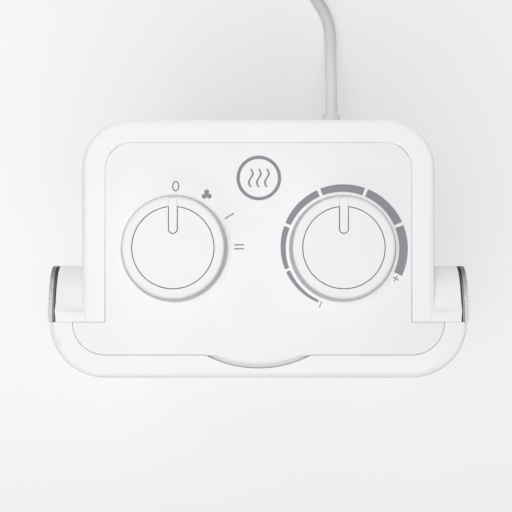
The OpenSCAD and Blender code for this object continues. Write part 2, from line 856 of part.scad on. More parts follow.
// Frame of the heating core, a heat-proof moulding with ears
module heater_frame() {
    ear_w = 10;
    ear_t = 3;
    color("#33302e") difference() {
        union() {
            along_y(core_y, core_t + core_lip) translate([0, mid_z])
                rounded(core_frame_w, core_frame_w, core_rail / 2);
            for (s = [-1, 1], t = [-1, 1])
                translate([s * ear_x - ear_w / 2, core_y + core_t + core_lip - ear_t,
                           mid_z + t * (ear_z - 1) - ear_w / 2]) cube([ear_w, ear_t, ear_w]);
        }
        along_y(core_y - e, core_t + core_lip + 2 * e) translate([0, mid_z])
            square([core_w + 2 * seat_gap, core_w + 2 * seat_gap], center = true);
        for (s = [-1, 1], t = [-1, 1])
            rod_y(s * ear_x, core_y, mid_z + t * ear_z, screw_r + screw_gap, core_t + ear_t);
    }
}

// Height of heating bar i above the floor
function bar_z(i) = mid_z + (i - (bars - 1) / 2) * core_w / bars;

// Flat tubes that hold the ceramic stones
module heater_bars() {
    color("#c8cacc") for (i = [0 : bars - 1]) difference() {
        translate([-core_w / 2, core_y + bar_in, bar_z(i) - bar_h / 2])
            cube([core_w, core_t - 2 * bar_in, bar_h]);
        translate([-core_w / 2 - e, core_y + bar_in + bar_wall,
                   bar_z(i) - stone_t / 2 - seat_gap])
            cube([core_w + 2 * e, core_t - 2 * bar_in - 2 * bar_wall, stone_t + 2 * seat_gap]);
    }
}

// Ceramic stones, in a row inside each bar
module ceramic_stones() {
    cell = core_w / stone_count;
    long = cell - 1.4;
    play = bar_in + 2 * seat_gap;
    color("#8f8a80") for (i = [0 : bars - 1], k = [0 : stone_count - 1])
        translate([(k - (stone_count - 1) / 2) * cell - long / 2,
                   core_y + play + bar_wall, bar_z(i) - stone_t / 2])
            cube([long, core_t - 2 * play - 2 * bar_wall, stone_t]);
}

// Outline of one folded fin strip: up the folds on top, back along their underside
module fin_strip() {
    folds = floor(core_w / fin_pitch);
    start = -folds * fin_pitch / 2;
    rise = fin_h - fin_t;
    polygon(concat(
        [for (i = [0 : 2 * folds])
            [start + i * fin_pitch / 2, (i % 2 == 0 ? 0 : rise) + fin_t]],
        [for (i = [2 * folds : -1 : 0])
            [start + i * fin_pitch / 2, i % 2 == 0 ? 0 : rise]]
    ));
}

// Folded aluminium fins above and below each bar
module heater_fins() {
    color("#d6d8da") for (i = [0 : bars - 1], t = [0, 1])
        along_y(core_y + 2 * bar_in, core_t - 4 * bar_in)
            translate([0, bar_z(i) + (t == 0 ? bar_h / 2 + seat_gap / 2
                                             : -bar_h / 2 - seat_gap / 2 - fin_h)])
                fin_strip();
}

// Blade terminals at one end of the bars
module heater_terminals() {
    color("#c9a25a") for (i = [0 : bars - 1])
        translate([core_frame_w / 2 + seat_gap, core_y + core_t / 2 - terminal_w / 2,
                   bar_z(i) - tab_t / 2])
            cube([terminal_out, terminal_w, tab_t]);
}

// Snap-disc cut-out, screwed to the top rail of the frame
module thermal_cutout() {
    cutout_r = 5;
    cutout_h = 8;
    z = mid_z + core_frame_w / 2 + seat_gap;
    color("#2f2f33") translate([-core_frame_w / 6, core_y + core_t / 2, z]) {
        cylinder(r = cutout_r + 0.5, h = 1.2);
        cylinder(r = cutout_r, h = cutout_h);
        for (s = [-1, 1]) translate([s * 0.68 * cutout_r - tab_t / 2, -cutout_r / 2.5, cutout_h - 1])
            cube([tab_t, 0.8 * cutout_r, tab_h]);
    }
}

// Thermal fuse in its sleeve, lying on the top rail
module thermal_fuse() {
    fuse_r = 2;
    fuse_long = 12;
    pigtail = 5;
    z = mid_z + core_frame_w / 2 + seat_gap + fuse_r;
    color("#d9d2c0") translate([-core_frame_w / 32, core_y + core_t / 2, z]) rotate([0, 90, 0]) {
        cylinder(r = fuse_r, h = fuse_long);
        translate([0, 0, -pigtail]) cylinder(r = 0.3 * fuse_r, h = fuse_long + 2 * pigtail);
    }
}

// Baffle with the duct ring and the lugs for the motor spider
module fan_duct() {
    out_r = ring_r + duct_wall;
    lug_long = 12;
    color("#dadada") difference() {
        union() {
            translate([0, 0, baffle_low]) linear_extrude(baffle_high - baffle_low)
                intersection() {
                    plan_front(wall + 0.6);
                    translate([-frame_w, baffle_y]) square([2 * frame_w, baffle_t]);
                }
            rod_y(0, baffle_y + baffle_t / 2, mid_z, out_r, ring_end - baffle_y - baffle_t / 2);
            for (a = [45 : 90 : 315])
                rod_y(spider_arm * cos(a), ring_end - lug_long, mid_z + spider_arm * sin(a),
                      lug_r, lug_long);
        }
        rod_y(0, baffle_y - e, mid_z, ring_r, ring_end - baffle_y + 2 * e);
        for (a = [45 : 90 : 315])
            rod_y(spider_arm * cos(a), ring_end - lug_long + 2, mid_z + spider_arm * sin(a),
                  screw_r + screw_gap, lug_long);
        for (s = [-1, 1], z = [tower_low, tower_high])
            rod_y(s * tower_x, baffle_y - e, z, boss_r + 0.3, baffle_t + 2 * e);
        for (s = [-1, 1], z = [duct_boss_z, 2 * mid_z - duct_boss_z])
            rod_y(s * duct_boss_x, baffle_y - e, z, screw_r + screw_gap, baffle_t + 2 * e);
        for (s = [-1, 1], t = [-1, 1])
            rod_y(s * ear_x, baffle_y - e, mid_z + t * ear_z, screw_r + screw_gap,
                  baffle_t + 2 * e);
        for (s = [-1, 1])
            rod_y(s * wire_hole[0], baffle_y - e, wire_hole[1], wire_hole_r, baffle_t + 2 * e);
    }
}

// Section of a blade: a thin arc, standing at the blade's pitch
module blade_section() {
    bow = 40;
    blade_t = 1.8;
    chord = fan_len - 3;
    rotate(blade_pitch) translate([0, -sqrt(bow * bow - chord * chord / 4)]) intersection() {
        difference() {
            circle(bow);
            circle(bow - blade_t);
        }
        translate([-chord / 2, 0]) square([chord, bow + 1]);
    }
}

// One curved blade: its section drawn out from the hub and cut to the fan's radius
module blade() {
    intersection() {
        rotate(90) cylinder(r = fan_r, h = fan_len);
        translate([hub_r - 1, 0, fan_len / 2]) rotate([90, 0, 90])
            linear_extrude(fan_r) blade_section();
    }
}

// Axial fan: hub and blades in one moulding
module fan_impeller() {
    step = 360 / blades;
    color("#f0f0f0") translate([0, fan_front + fan_len, mid_z]) rotate([90, 0, 0]) difference() {
        union() {
            rotate(step / 2) difference() {
                cylinder(r = hub_r, h = fan_len);
                translate([0, 0, -e]) cylinder(r = hub_r - 2, h = fan_len - 2);
            }
            rotate(step / 2) cylinder(r = shaft_r + 2, h = fan_len - 1);
            for (k = [0 : blades - 1]) rotate(k * step) blade();
        }
        translate([0, 0, -e]) cylinder(r = shaft_r + 0.02, h = fan_len - 3 + e);
    }
}

// Four-armed spider that carries the motor behind the fan
module motor_spider() {
    color("#dadada") difference() {
        union() {
            along_y(spider_y, spider_t) translate([0, mid_z]) {
                circle(spider_hub_r);
                for (a = [45 : 90 : 315]) rotate(a) {
                    translate([0.8 * spider_hub_r, -spider_w / 2])
                        square([spider_arm - 0.8 * spider_hub_r, spider_w]);
                    translate([spider_arm, 0]) circle(lug_r);
                }
            }
        }
        rod_y(0, spider_y - e, mid_z, bush_out_r + 2, spider_t + 2 * e);
        for (a = [45 : 90 : 315])
            rod_y(spider_arm * cos(a), spider_y - e, mid_z + spider_arm * sin(a),
                  screw_r + screw_gap, spider_t + 2 * e);
        for (s = [-1, 1]) rod_y(s * stay_x, spider_y - e, mid_z, screw_r + screw_gap,
                                spider_t + 2 * e);
    }
}

// Steel shaft from the fan's hub to the rear bearing
module motor_shaft() {
    front = fan_front + 4;
    color("#b9bcc0") rod_y(0, front, mid_z, shaft_r, bearing_rear_y + 8 - front);
}

// Rotor drum pressed on the shaft
module motor_rotor() {
    color("#8b8e92") difference() {
        rod_y(0, stack_y, mid_z, rotor_r, stack_t);
        rod_y(0, stack_y - e, mid_z, shaft_r + 0.02, stack_t + 2 * e);
    }
}

// Stack of laminations: rotor bore above, a window for the coil below
module motor_stator() {
    color("#6f7377") along_y(stack_y, stack_t) translate([0, mid_z]) difference() {
        translate([-stator_w / 2, -stator_down]) square([stator_w, stator_up + stator_down]);
        circle(rotor_r + air_gap);
        translate([-coil_window[0] / 2, -stator_down + coil_bar]) square(coil_window);
        for (s = [-1, 1]) translate([s * stay_x, 0]) circle(screw_r + screw_gap);
    }
}

// Winding on its bobbin, round the lower bar of the stack
module motor_coil() {
    over = coil_over;
    w = coil_window[0] - 0.6;
    slack = 2 * seat_gap;
    color("#8c5a2e") difference() {
        translate([-w / 2, stack_y - over, mid_z - stator_down - over])
            cube([w, stack_t + 2 * over, coil_bar + 2 * over]);
        translate([-w, stack_y - slack, mid_z - stator_down - slack])
            cube([2 * w, stack_t + 2 * slack, coil_bar + 2 * slack]);
    }
}

// Front and rear bearing plates with their bushes and spacers
module motor_bearings() {
    color("#c3c6ca") for (rear = [0, 1]) {
        y = rear == 0 ? bearing_y : bearing_rear_y;
        bush_y = rear == 0 ? bearing_y : bearing_rear_y - bush_len;
        post_y = rear == 0 ? bearing_y : stack_y + stack_t + seat_gap;
        post = rear == 0 ? stack_y - seat_gap - bearing_y
                         : bearing_rear_y - stack_y - stack_t;
        difference() {
            union() {
                translate([-stay_x - stay_r - plate_edge, y, mid_z - bearing_h / 2])
                    cube([2 * (stay_x + stay_r + plate_edge), bearing_t, bearing_h]);
                rod_y(0, bush_y, mid_z, bush_out_r, bearing_t + bush_len);
                for (s = [-1, 1]) rod_y(s * stay_x, post_y, mid_z, stay_r, post);
            }
            rod_y(0, bush_y - e, mid_z, shaft_r + spindle_gap, bearing_t + bush_len + 2 * e);
            for (s = [-1, 1]) rod_y(s * stay_x, post_y - 2 * bearing_t, mid_z,
                                    screw_r + screw_gap, post + 4 * bearing_t);
        }
    }
}

// Housing of the tip-over switch, standing on the base plate
module tip_switch_body() {
    z = base_z + plate_t + seat_gap;
    color("#2d2f33") translate([0, tip_y, z]) difference() {
        translate([-tip_body_w / 2, -tip_body_w / 2, 0])
            cube([tip_body_w, tip_body_w, tip_body_h]);
        translate([0, 0, -e])
            cylinder(r = plunger_r + collar_out + seat_gap + 0.2, h = tip_body_h - tip_wall + e);
    }
}

// Plunger that the floor holds up, with a collar for its spring
module tip_plunger() {
    color("#d9d9d9") translate([0, tip_y, 0]) {
        cylinder(r = plunger_r, h = collar_z);
        translate([0, 0, collar_z]) cylinder(r = plunger_r + collar_out, h = collar_h);
        translate([0, 0, collar_z]) cylinder(r = pin_r, h = collar_h + pin_h);
    }
}

// Points of a ring of n corners and radius r at p, square to the direction d
function ring(p, d, r, n) =
    let (
        u0 = abs(d[2]) < 0.9 * norm(d) ? cross([0, 0, 1], d) : cross([1, 0, 0], d),
        u = u0 / norm(u0),
        v = cross(d, u) / norm(d)
    )
    [for (k = [0 : n - 1]) p + r * (cos(360 * k / n) * u + sin(360 * k / n) * v)];

// Direction of a path at point i: along its first and last stretch, and across the others
function heading(path, i) =
    i == 0 ? path[1] - path[0]
    : i == len(path) - 1 ? path[i] - path[i - 1]
    : (path[i + 1] - path[i]) / norm(path[i + 1] - path[i])
      + (path[i] - path[i - 1]) / norm(path[i] - path[i - 1]);

// Tube of radius r and n sides along a path
module tube(path, r, n) {
    m = len(path);
    rings = [for (i = [0 : m - 1]) each ring(path[i], heading(path, i), r, n)];
    sides = [for (i = [0 : m - 2], k = [0 : n - 1]) let (a = i * n + k, b = i * n + (k + 1) % n)
        each [[a, a + n, b], [b, a + n, b + n]]];
    polyhedron(
        points = rings,
        faces = concat(
            sides,
            [[for (k = [0 : n - 1]) k]],
            [[for (k = [n - 1 : -1 : 0]) (m - 1) * n + k]]
        )
    );
}

// Spring between the plunger's collar and the roof of the switch
module tip_spring() {
    low = collar_z + collar_h + spring_gap;
    high = base_z + plate_t + tip_body_h - tip_wall - spring_gap;
    steps = 12 * spring_turns;
    color("#aeb2b6") translate([0, tip_y, 0])
        tube([for (i = [0 : steps])
            [(plunger_r + spring_gap) * cos(i * 30), (plunger_r + spring_gap) * sin(i * 30),
             low + (high - low) * i / steps]], spring_wire_r, 6);
}

// Terminal block on the base plate, where the cord's cores end
module terminal_block() {
    color("#efefe8") translate([block_x, block_y, base_z + plate_t + seat_gap])
        difference() {
            cube(block);
            for (i = [0.5 : 2.5]) translate([i * block[0] / 3, block[1] / 2, 0.4 * block[2]])
                cylinder(r = block_hole_r, h = block[2]);
        }
}

// Path with each corner turned into a short curve that starts at distance b
function eased(path, b) =
    let (last = len(path) - 1)
    [for (i = [0 : last]) each i == 0 || i == last ? [path[i]]
        : let (
            from = (path[i - 1] - path[i]) / norm(path[i - 1] - path[i]),
            to = (path[i + 1] - path[i]) / norm(path[i + 1] - path[i])
        )
        [for (t = [0, 0.5, 1]) path[i] + b * ((1 - t) * (1 - t) * from + t * t * to)]];

// One insulated wire through the points of a path
module wire(path) {
    tube(eased(path, 3), wire_r, 6);
}

// Wires between the terminal block, the switches, the motor and the heating core
module wiring() {
    wall_x = housing_x - wall - 4;
    first_x = block_x + block[0] / 2;
    top = switch_top - switch_h - tab_h - 2;
    block_z = base_z + plate_t + block[2] + 0.6;
    hole_y = block_y + block[1] / 2;
    bend_z = block_z + 18;
    tab_x = 1.875 * tab_w;
    tab_y = tab_t / 2 + wire_r + 0.7;
    rear_y_in = rear_y - 17.4;
    coil_x = -coil_window[0] / 3;
    coil_z = mid_z - stator_down - 2;
    color("#3c5f9c") {
        wire([[first_x, hole_y, block_z], [first_x, hole_y, bend_z], [wall_x, hole_y, bend_z],
              [wall_x, hole_y, top - 6], [-knob_x + tab_x, 20, top - 6],
              [-knob_x + tab_x, 4, top - 1], [-knob_x + tab_x, tab_y, top + 4]]);
        wire([[-knob_x - tab_x, tab_y, top + 4], [-knob_x - tab_x, 8, top - 4],
              [-knob_x - tab_x, 34, top - 10], [-knob_x - tab_x, rear_y_in, mid_z - 30],
              [coil_x, rear_y_in, coil_z], [coil_x, stack_y + stack_t + coil_over + 0.3, coil_z]]);
    }
}

// Long screws at the bottom of the four towers
module casing_screws() {
    color("#a9adb1") for (s = [-1, 1], z = [tower_low, tower_high]) {
        rod_y(s * tower_x, tower_y + tower_floor + seat_gap, z, screw_head_r, screw_head_h);
        rod_y(s * tower_x, tower_y - tower_grip, z, screw_r,
              tower_grip + tower_floor + seat_gap + e);
    }
}

// A pan-head screw along Y whose head seats at y, pointing to -Y
module screw_back(x, y, z, long) {
    rod_y(x, y + seat_gap, z, small_head_r, small_head_h);
    rod_y(x, y - long, z, screw_r, long + seat_gap + e);
}

// Screws of the baffle, the heating core, the spider and the motor
module inner_screws() {
    inner_screw_long = 10;
    color("#a9adb1") {
        for (s = [-1, 1], z = [duct_boss_z, 2 * mid_z - duct_boss_z])
            screw_back(s * duct_boss_x, baffle_y + baffle_t, z, inner_screw_long);
        for (a = [45 : 90 : 315])
            screw_back(spider_arm * cos(a), spider_y + spider_t, mid_z + spider_arm * sin(a),
                       inner_screw_long);
        for (s = [-1, 1])
            screw_back(s * stay_x, bearing_rear_y + bearing_t, mid_z,
                       bearing_rear_y + bearing_t - spider_y);
        for (s = [-1, 1], t = [-1, 1])
            screw_back(s * ear_x, baffle_y + baffle_t, mid_z + t * ear_z, baffle_t + 3);
        for (s = [-1, 1], y = [-stand_at, stand_at]) translate([s * knob_x, y, 0])
            translate([0, 0, switch_top - stand_h + 2 * seat_gap])
                cylinder(r = screw_r, h = stand_h + deck_t);
    }
}

// Screws of the base plate, from below
module base_screws() {
    color("#a9adb1") for (s = [-1, 1], y = [front_y + base_post_in, rear_y - base_post_in])
        translate([s * base_screw_at, y, base_z - seat_gap]) {
            translate([0, 0, -small_head_h]) cylinder(r = small_head_r, h = small_head_h);
            translate([0, 0, -e]) cylinder(r = screw_r, h = base_screw_long);
        }
}

// Cord gland: a soft sleeve with ribs that grips the rear wall in a groove
module cord_gland() {
    bore = cord_r + 0.15;
    ribs = 5;
    rib_t = 1.8;
    root_r = gland_neck_r - 0.6;
    tip_r = cord_r + 1.1;
    color("#f4f4f4") translate([cord_x, rear_y, cord_z]) rotate([-90, 0, 0]) difference() {
        union() {
            translate([0, 0, -wall - 1.6 * gland_flange])
                cylinder(r = gland_neck_r + 2, h = 1.6 * gland_flange - seat_gap);
            translate([0, 0, -wall - e]) cylinder(r = gland_neck_r, h = wall + 2 * e);
            translate([0, 0, seat_gap]) cylinder(r = gland_neck_r + gland_flange, h = gland_flange);
            translate([0, 0, gland_flange - e]) cylinder(
                r1 = root_r, r2 = tip_r, h = gland_len - gland_flange + e);
            for (i = [0 : ribs - 1])
                translate([0, 0, 2 * gland_flange + i * (gland_len - 3 * gland_flange) / ribs])
                    cylinder(r = root_r + 0.9 - i * (root_r - tip_r) / 5, h = rib_t);
        }
        translate([0, 0, -wall - 2 * gland_flange])
            cylinder(r = bore, h = gland_len + wall + 3 * gland_flange);
    }
}

// Cord from the terminal block, through the gland and down to the floor
module power_cord() {
    color("#ececec") tube(cord_route, cord_r, 10);
}

// Height of the coil after t turns: it climbs in the half turn round each reversal
function coil_climb(t) =
    let (k = round(t / layer_turns), s = t - k * layer_turns)
    k < 1 || k > coil_layers - 1 ? (k < 1 ? 0 : coil_layers - 1)
    : k - 1 + max(0, min(1, 2 * s + 0.5));

// Middle of the cord after t turns of the coil
function coil_point(t) =
    let (
        k = floor(t / layer_turns),
        s = t - k * layer_turns,
        r = k % 2 == 0 ? coil_r - turn_pitch * s : coil_r - turn_pitch * (layer_turns - s),
        a = coil_start - 360 * t
    )
    [coil_mid[0] + r * cos(a), coil_mid[1] + r * sin(a), cord_floor + turn_pitch * coil_climb(t)];

// Lead from the coil's top layer down to the plug, after a straight start
coil_out = coil_point(coil_turns - 0.0001);
lead_dir = [cos(lead_angle), sin(lead_angle), 0];
function lead_point(s) =
    let (
        f = max(0, min(1, (s * lead_length - coil_lead) / (lead_length - 2 * coil_lead))),
        p = coil_out + s * lead_length * lead_dir
    )
    [p[0], p[1], coil_top + (plug_z - coil_top) * (1 - cos(180 * f)) / 2];

// Whole path of the coil: straight start, turns, lead
coil_count = round(coil_turns * coil_steps);
coil_path = concat(
    [cord_last],
    [for (i = [0 : coil_count]) coil_point(min(coil_turns * i / coil_count, coil_turns - 0.0001))],
    [for (i = [1 : lead_steps + 2]) lead_point(i / (lead_steps + 2))]
);

// Least gap of the coil to itself, between points more than half a turn apart
coil_gap = min([for (i = [0 : 2 : len(coil_path) - 1])
    min([for (j = [0 : len(coil_path) - 1])
        abs(i - j) > coil_steps / 2 ? norm(coil_path[i] - coil_path[j]) : 1000])]) - cord_d;
coil_length = sum_length(coil_path, len(coil_path) - 1);
function sum_length(path, i) =
    i == 0 ? 0 : norm(path[i] - path[i - 1]) + sum_length(path, i - 1);

// Cord that is wound up, one unbroken tube
module power_cord_coil() {
    echo(coil_gap = coil_gap, coil_length = coil_length);
    color("#ececec") tube(coil_path, cord_r, 6);
}

// Two-pin plug on the end of the cord, lying on the floor
module power_plug() {
    long = 36;
    start = coil_out + (lead_length + 0.2) * lead_dir;
    color("#ececec") translate([start[0], start[1], plug_z])
        rotate([0, 90, lead_angle]) {
            cylinder(r1 = cord_r + 1.5, r2 = 9, h = 14);
            translate([0, 0, 13.8]) cylinder(r1 = 9, r2 = plug_r - 2, h = 7);
            translate([0, 0, 20.6]) cylinder(r = plug_r, h = long - 20.6);
            for (s = [-1, 1]) translate([s * 9.5, 0, long - 1]) cylinder(r = 2.4, h = 20);
        }
}

front_frame();
front_grille();
rear_housing();
side_grille_left();
side_grille_right();
rear_grille();
top_deck();
base_plate();
rubber_feet();
mode_knob();
mode_knob_cap();
mode_switch_shaft();
mode_switch_body();
thermostat_knob();
thermostat_knob_cap();
thermostat_spindle();
thermostat_body();
thermostat_bimetal();
heater_frame();
heater_bars();
ceramic_stones();
heater_fins();
heater_terminals();
thermal_cutout();
thermal_fuse();
fan_duct();
fan_impeller();
motor_spider();
motor_shaft();
motor_rotor();
motor_stator();
motor_coil();
motor_bearings();
tip_switch_body();
tip_plunger();
tip_spring();
terminal_block();
wiring();
casing_screws();
inner_screws();
base_screws();
cord_gland();
power_cord();
power_cord_coil();
power_plug();
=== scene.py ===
# The ceramic fan heater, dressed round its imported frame, in metres.
# +Z is up, the front is at -Y, and the origin is on the floor under the middle of the heater.
import math

import bmesh
import bpy
from mathutils import Matrix, Vector


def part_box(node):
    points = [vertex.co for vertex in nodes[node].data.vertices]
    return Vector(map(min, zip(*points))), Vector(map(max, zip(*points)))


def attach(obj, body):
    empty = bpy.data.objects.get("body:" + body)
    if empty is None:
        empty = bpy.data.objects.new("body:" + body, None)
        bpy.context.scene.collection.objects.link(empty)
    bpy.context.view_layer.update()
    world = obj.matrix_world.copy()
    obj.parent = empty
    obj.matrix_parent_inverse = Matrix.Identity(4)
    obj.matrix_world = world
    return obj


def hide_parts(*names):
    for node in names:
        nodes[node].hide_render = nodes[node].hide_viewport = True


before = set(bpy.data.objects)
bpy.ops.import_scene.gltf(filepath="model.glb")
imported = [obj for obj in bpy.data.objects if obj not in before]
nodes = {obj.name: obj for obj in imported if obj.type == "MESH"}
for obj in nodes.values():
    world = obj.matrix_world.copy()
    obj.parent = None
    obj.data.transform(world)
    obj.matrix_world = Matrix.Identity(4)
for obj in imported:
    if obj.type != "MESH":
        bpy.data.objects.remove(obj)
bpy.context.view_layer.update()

# Camera
# The photograph looks straight down on the control deck from about 1.1 m, through a long lens.
# Its vertical edges point at a spot in front of the knobs, so the camera stands over that spot.
camera_data = bpy.data.cameras.new("camera")
camera_data.lens = 132.96
camera_data.sensor_width = 36
camera_data.clip_start = 0.01
camera_data.clip_end = 30
camera = bpy.data.objects.new("camera", camera_data)
camera.location = (0, -0.0237, 1.105)
camera.rotation_euler = (math.radians(1.333), math.radians(0.073), 0)
bpy.context.scene.collection.objects.link(camera)
bpy.context.scene.camera = camera

# Mains cord
# A round 7 mm PVC cord, 1.6 m long, with two cores inside one soft matt sheath.
# It leaves through the sleeve, drops to the floor and is wound in a coil with the plug beside it.
mm = 0.001


def effect(name, inputs, outputs):
    """An empty node group, with its named inputs (kind, default) and outputs as sockets."""
    group = bpy.data.node_groups.new(name, "ShaderNodeTree")
    for label, kind, default in inputs:
        socket = group.interface.new_socket(label, in_out="INPUT", socket_type=kind)
        socket.default_value = default
    for label, kind in outputs:
        group.interface.new_socket(label, in_out="OUTPUT", socket_type=kind)
    given = group.nodes.new("NodeGroupInput").outputs
    made = group.nodes.new("NodeGroupOutput").inputs
    return group, given, made


def feed(tree, socket, source):
    """Links an output to an input socket, or sets the socket to a plain value."""
    if isinstance(source, bpy.types.NodeSocket):
        tree.links.new(source, socket)
    else:
        socket.default_value = source


def add(tree, kind, *sources, **settings):
    """A node with its settings. Sources feed its inputs in order, in_Scale the input of that name."""
    node = tree.nodes.new(kind)
    for key, value in settings.items():
        if not key.startswith("in_"):
            setattr(node, key, value)
    for socket, source in zip(node.inputs, sources):
        feed(tree, socket, source)
    for key, value in settings.items():
        if key.startswith("in_"):
            feed(tree, node.inputs[key[3:].replace("_", " ")], value)
    return node


def maths(tree, operation, *values, clamp=False):
    """The result of a sum on plain values or outputs."""
    return add(tree, "ShaderNodeMath", *values, operation=operation, use_clamp=clamp).outputs[0]


def ranged(tree, value, *ends, **settings):
    """A value stretched from its first two ends to the next two, which are 0 and 1 if not given."""
    return add(tree, "ShaderNodeMapRange", value, *ends, **settings).outputs[0]


def where(tree):
    """The place of the shaded point on its piece."""
    return add(tree, "ShaderNodeTexCoord").outputs["Object"]


def mottle(tree, place, scale, detail, roughness=0.5):
    """A noise from 0 to 1."""
    return add(tree, "ShaderNodeTexNoise", place, in_Scale=scale, in_Detail=detail,
               in_Roughness=roughness).outputs["Fac"]


def tinted(tree, value, spread, colour):
    """Colour made lighter and darker by value, which runs from 0 to 1, as far as spread says."""
    low = maths(tree, "SUBTRACT", 1, spread)
    high = maths(tree, "ADD", 1, spread)
    strength = ranged(tree, value, 0.3, 0.7, low, high)
    return add(tree, "ShaderNodeVectorMath", colour, in_Scale=strength, operation="SCALE").outputs[0]


def dulled(tree, value, spread, roughness):
    """Roughness raised and lowered by value, which runs from 0 to 1, as far as spread says."""
    centred = maths(tree, "SUBTRACT", value, 0.5)
    return maths(tree, "MULTIPLY_ADD", centred, spread, roughness, clamp=True)


def raised(tree, height, depth, strength):
    """The normal of a surface that stands up by depth where height is 1."""
    bump = add(tree, "ShaderNodeBump", in_Height=height, in_Distance=depth, in_Strength=strength)
    return bump.outputs[0]


def moulded_surface():
    """The skin of a moulded part: fine spark-eroded grain, slight drift of tone and of gloss."""
    group, given, made = effect(
        "moulded_surface",
        [
            ("Colour", "NodeSocketColor", (0.8, 0.8, 0.8, 1)),
            ("Drift", "NodeSocketFloat", 0.02),
            ("Roughness", "NodeSocketFloat", 0.4),
            ("Gloss Drift", "NodeSocketFloat", 0.06),
            ("Grain Scale", "NodeSocketFloat", 2400),
            ("Grain Depth", "NodeSocketFloat", 0.00002),
        ],
        [("Colour", "NodeSocketColor"), ("Roughness", "NodeSocketFloat"), ("Normal", "NodeSocketVector")],
    )
    place = where(group)
    wide = mottle(group, place, scale=11, detail=3)
    rubbed = mottle(group, place, scale=46, detail=4)
    grain = mottle(group, place, scale=given["Grain Scale"], detail=2, roughness=0.6)
    feed(group, made["Colour"], tinted(group, wide, given["Drift"], given["Colour"]))
    feed(group, made["Roughness"], dulled(group, rubbed, given["Gloss Drift"], given["Roughness"]))
    feed(group, made["Normal"], raised(group, grain, given["Grain Depth"], strength=0.6))
    return group


skin = moulded_surface()


def material(name, **sockets):
    """A material with its Principled shader, whose plain sockets are set by name."""
    made = bpy.data.materials.new(name)
    made.use_nodes = True
    shader = made.node_tree.nodes["Principled BSDF"]
    for key, value in sockets.items():
        shader.inputs[key.replace("_", " ")].default_value = value
    return made, shader


def use(made, shader, group, **values):
    """Places a group in a material and joins its outputs to the shader's sockets."""
    node = add(made.node_tree, "ShaderNodeGroup", node_tree=group)
    for key, value in values.items():
        feed(made.node_tree, node.inputs[key.replace("_", " ")], value)
    for label, socket in (("Colour", "Base Color"), ("Roughness", "Roughness"), ("Normal", "Normal")):
        if label in node.outputs:
            feed(made.node_tree, shader.inputs[socket], node.outputs[label])
    return node


def plastic(name, colour, roughness, drift=0.02, grain=2400, depth=0.00002, gloss=0.06, **sockets):
    """A moulded plastic or rubber finish."""
    made, shader = material(name, **sockets)
    use(made, shader, skin, Colour=(*colour, 1), Roughness=roughness, Drift=drift,
        Grain_Scale=grain, Grain_Depth=depth, Gloss_Drift=gloss)
    return made


def show(piece, finish, body="casing", replaces=()):
    """Links a piece, gives it its finish and slot, and lets it ride on its body."""
    bpy.context.scene.collection.objects.link(piece)
    piece.data.materials.append(finish)
    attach(piece, body)
    if replaces:
        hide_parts(*replaces)
    return piece


cord_r = 3.5 * mm
floor_line = cord_r
cord_x = 42 * mm
cord_z = 19 * mm
# From the rear wall down to the floor, and on to where the coil begins.
cord_route = [
    (cord_x, 0.040, cord_z), (cord_x, 0.060, cord_z), (cord_x, 0.086, cord_z), (cord_x, 0.098, 0.016),
    (cord_x, 0.110, 0.010), (cord_x, 0.120, 0.0058), (cord_x, 0.129, 0.0039),
    (0.041, 0.137, floor_line), (0.0385, 0.144, floor_line), (0.035, 0.150, floor_line),
    (0.031, 0.156, floor_line), (0.026, 0.162, floor_line), (0.021, 0.167, floor_line),
]
coil_r = 44 * mm
turn_pitch = 7.6 * mm
straight = 8 * mm
coil_layers = 4
coil_start = 225
coil_turns = 6 - 15 / 360
coil_last = coil_turns - 0.0001
layer_turns = coil_turns / coil_layers
coil_steps = 24
corner = math.cos(math.radians(45))
coil_mid = (
    cord_route[-1][0] + (coil_r - straight) * corner,
    cord_route[-1][1] + (coil_r + straight) * corner,
)
coil_top = floor_line + (coil_layers - 1) * turn_pitch


def coil_climb(turns):
    """Layers climbed after so many turns: one in the half turn round each reversal."""
    k = math.floor(turns / layer_turns + 0.5)
    past = turns - k * layer_turns
    if k < 1:
        return 0
    if k > coil_layers - 1:
        return coil_layers - 1
    return k - 1 + max(0, min(1, 2 * past + 0.5))


def coil_point(turns):
    """Middle of the cord after so many turns, spiralling in and out again layer by layer."""
    k = math.floor(turns / layer_turns)
    past = turns - k * layer_turns
    r = coil_r - turn_pitch * (past if k % 2 == 0 else layer_turns - past)
    a = math.radians(coil_start - 360 * turns)
    return (
        coil_mid[0] + r * math.cos(a),
        coil_mid[1] + r * math.sin(a),
        floor_line + turn_pitch * coil_climb(turns),
    )


coil_end = coil_point(coil_last)
lead_length = 54 * mm
lead_steps = 8
plug_z = 18.6 * mm
lead_angle = math.radians(coil_start - 360 * coil_turns - 90)
lead_way = Vector((math.cos(lead_angle), math.sin(lead_angle), 0))


def lead_point(part):
    """Middle of the lead from the coil's top layer down to the plug."""
    fall = (part * lead_length - straight) / (lead_length - 2 * straight)
    fall = (1 - math.cos(math.pi * max(0, min(1, fall)))) / 2
    point = Vector(coil_end) + part * lead_length * lead_way
    return (point.x, point.y, coil_top + (plug_z - coil_top) * fall)


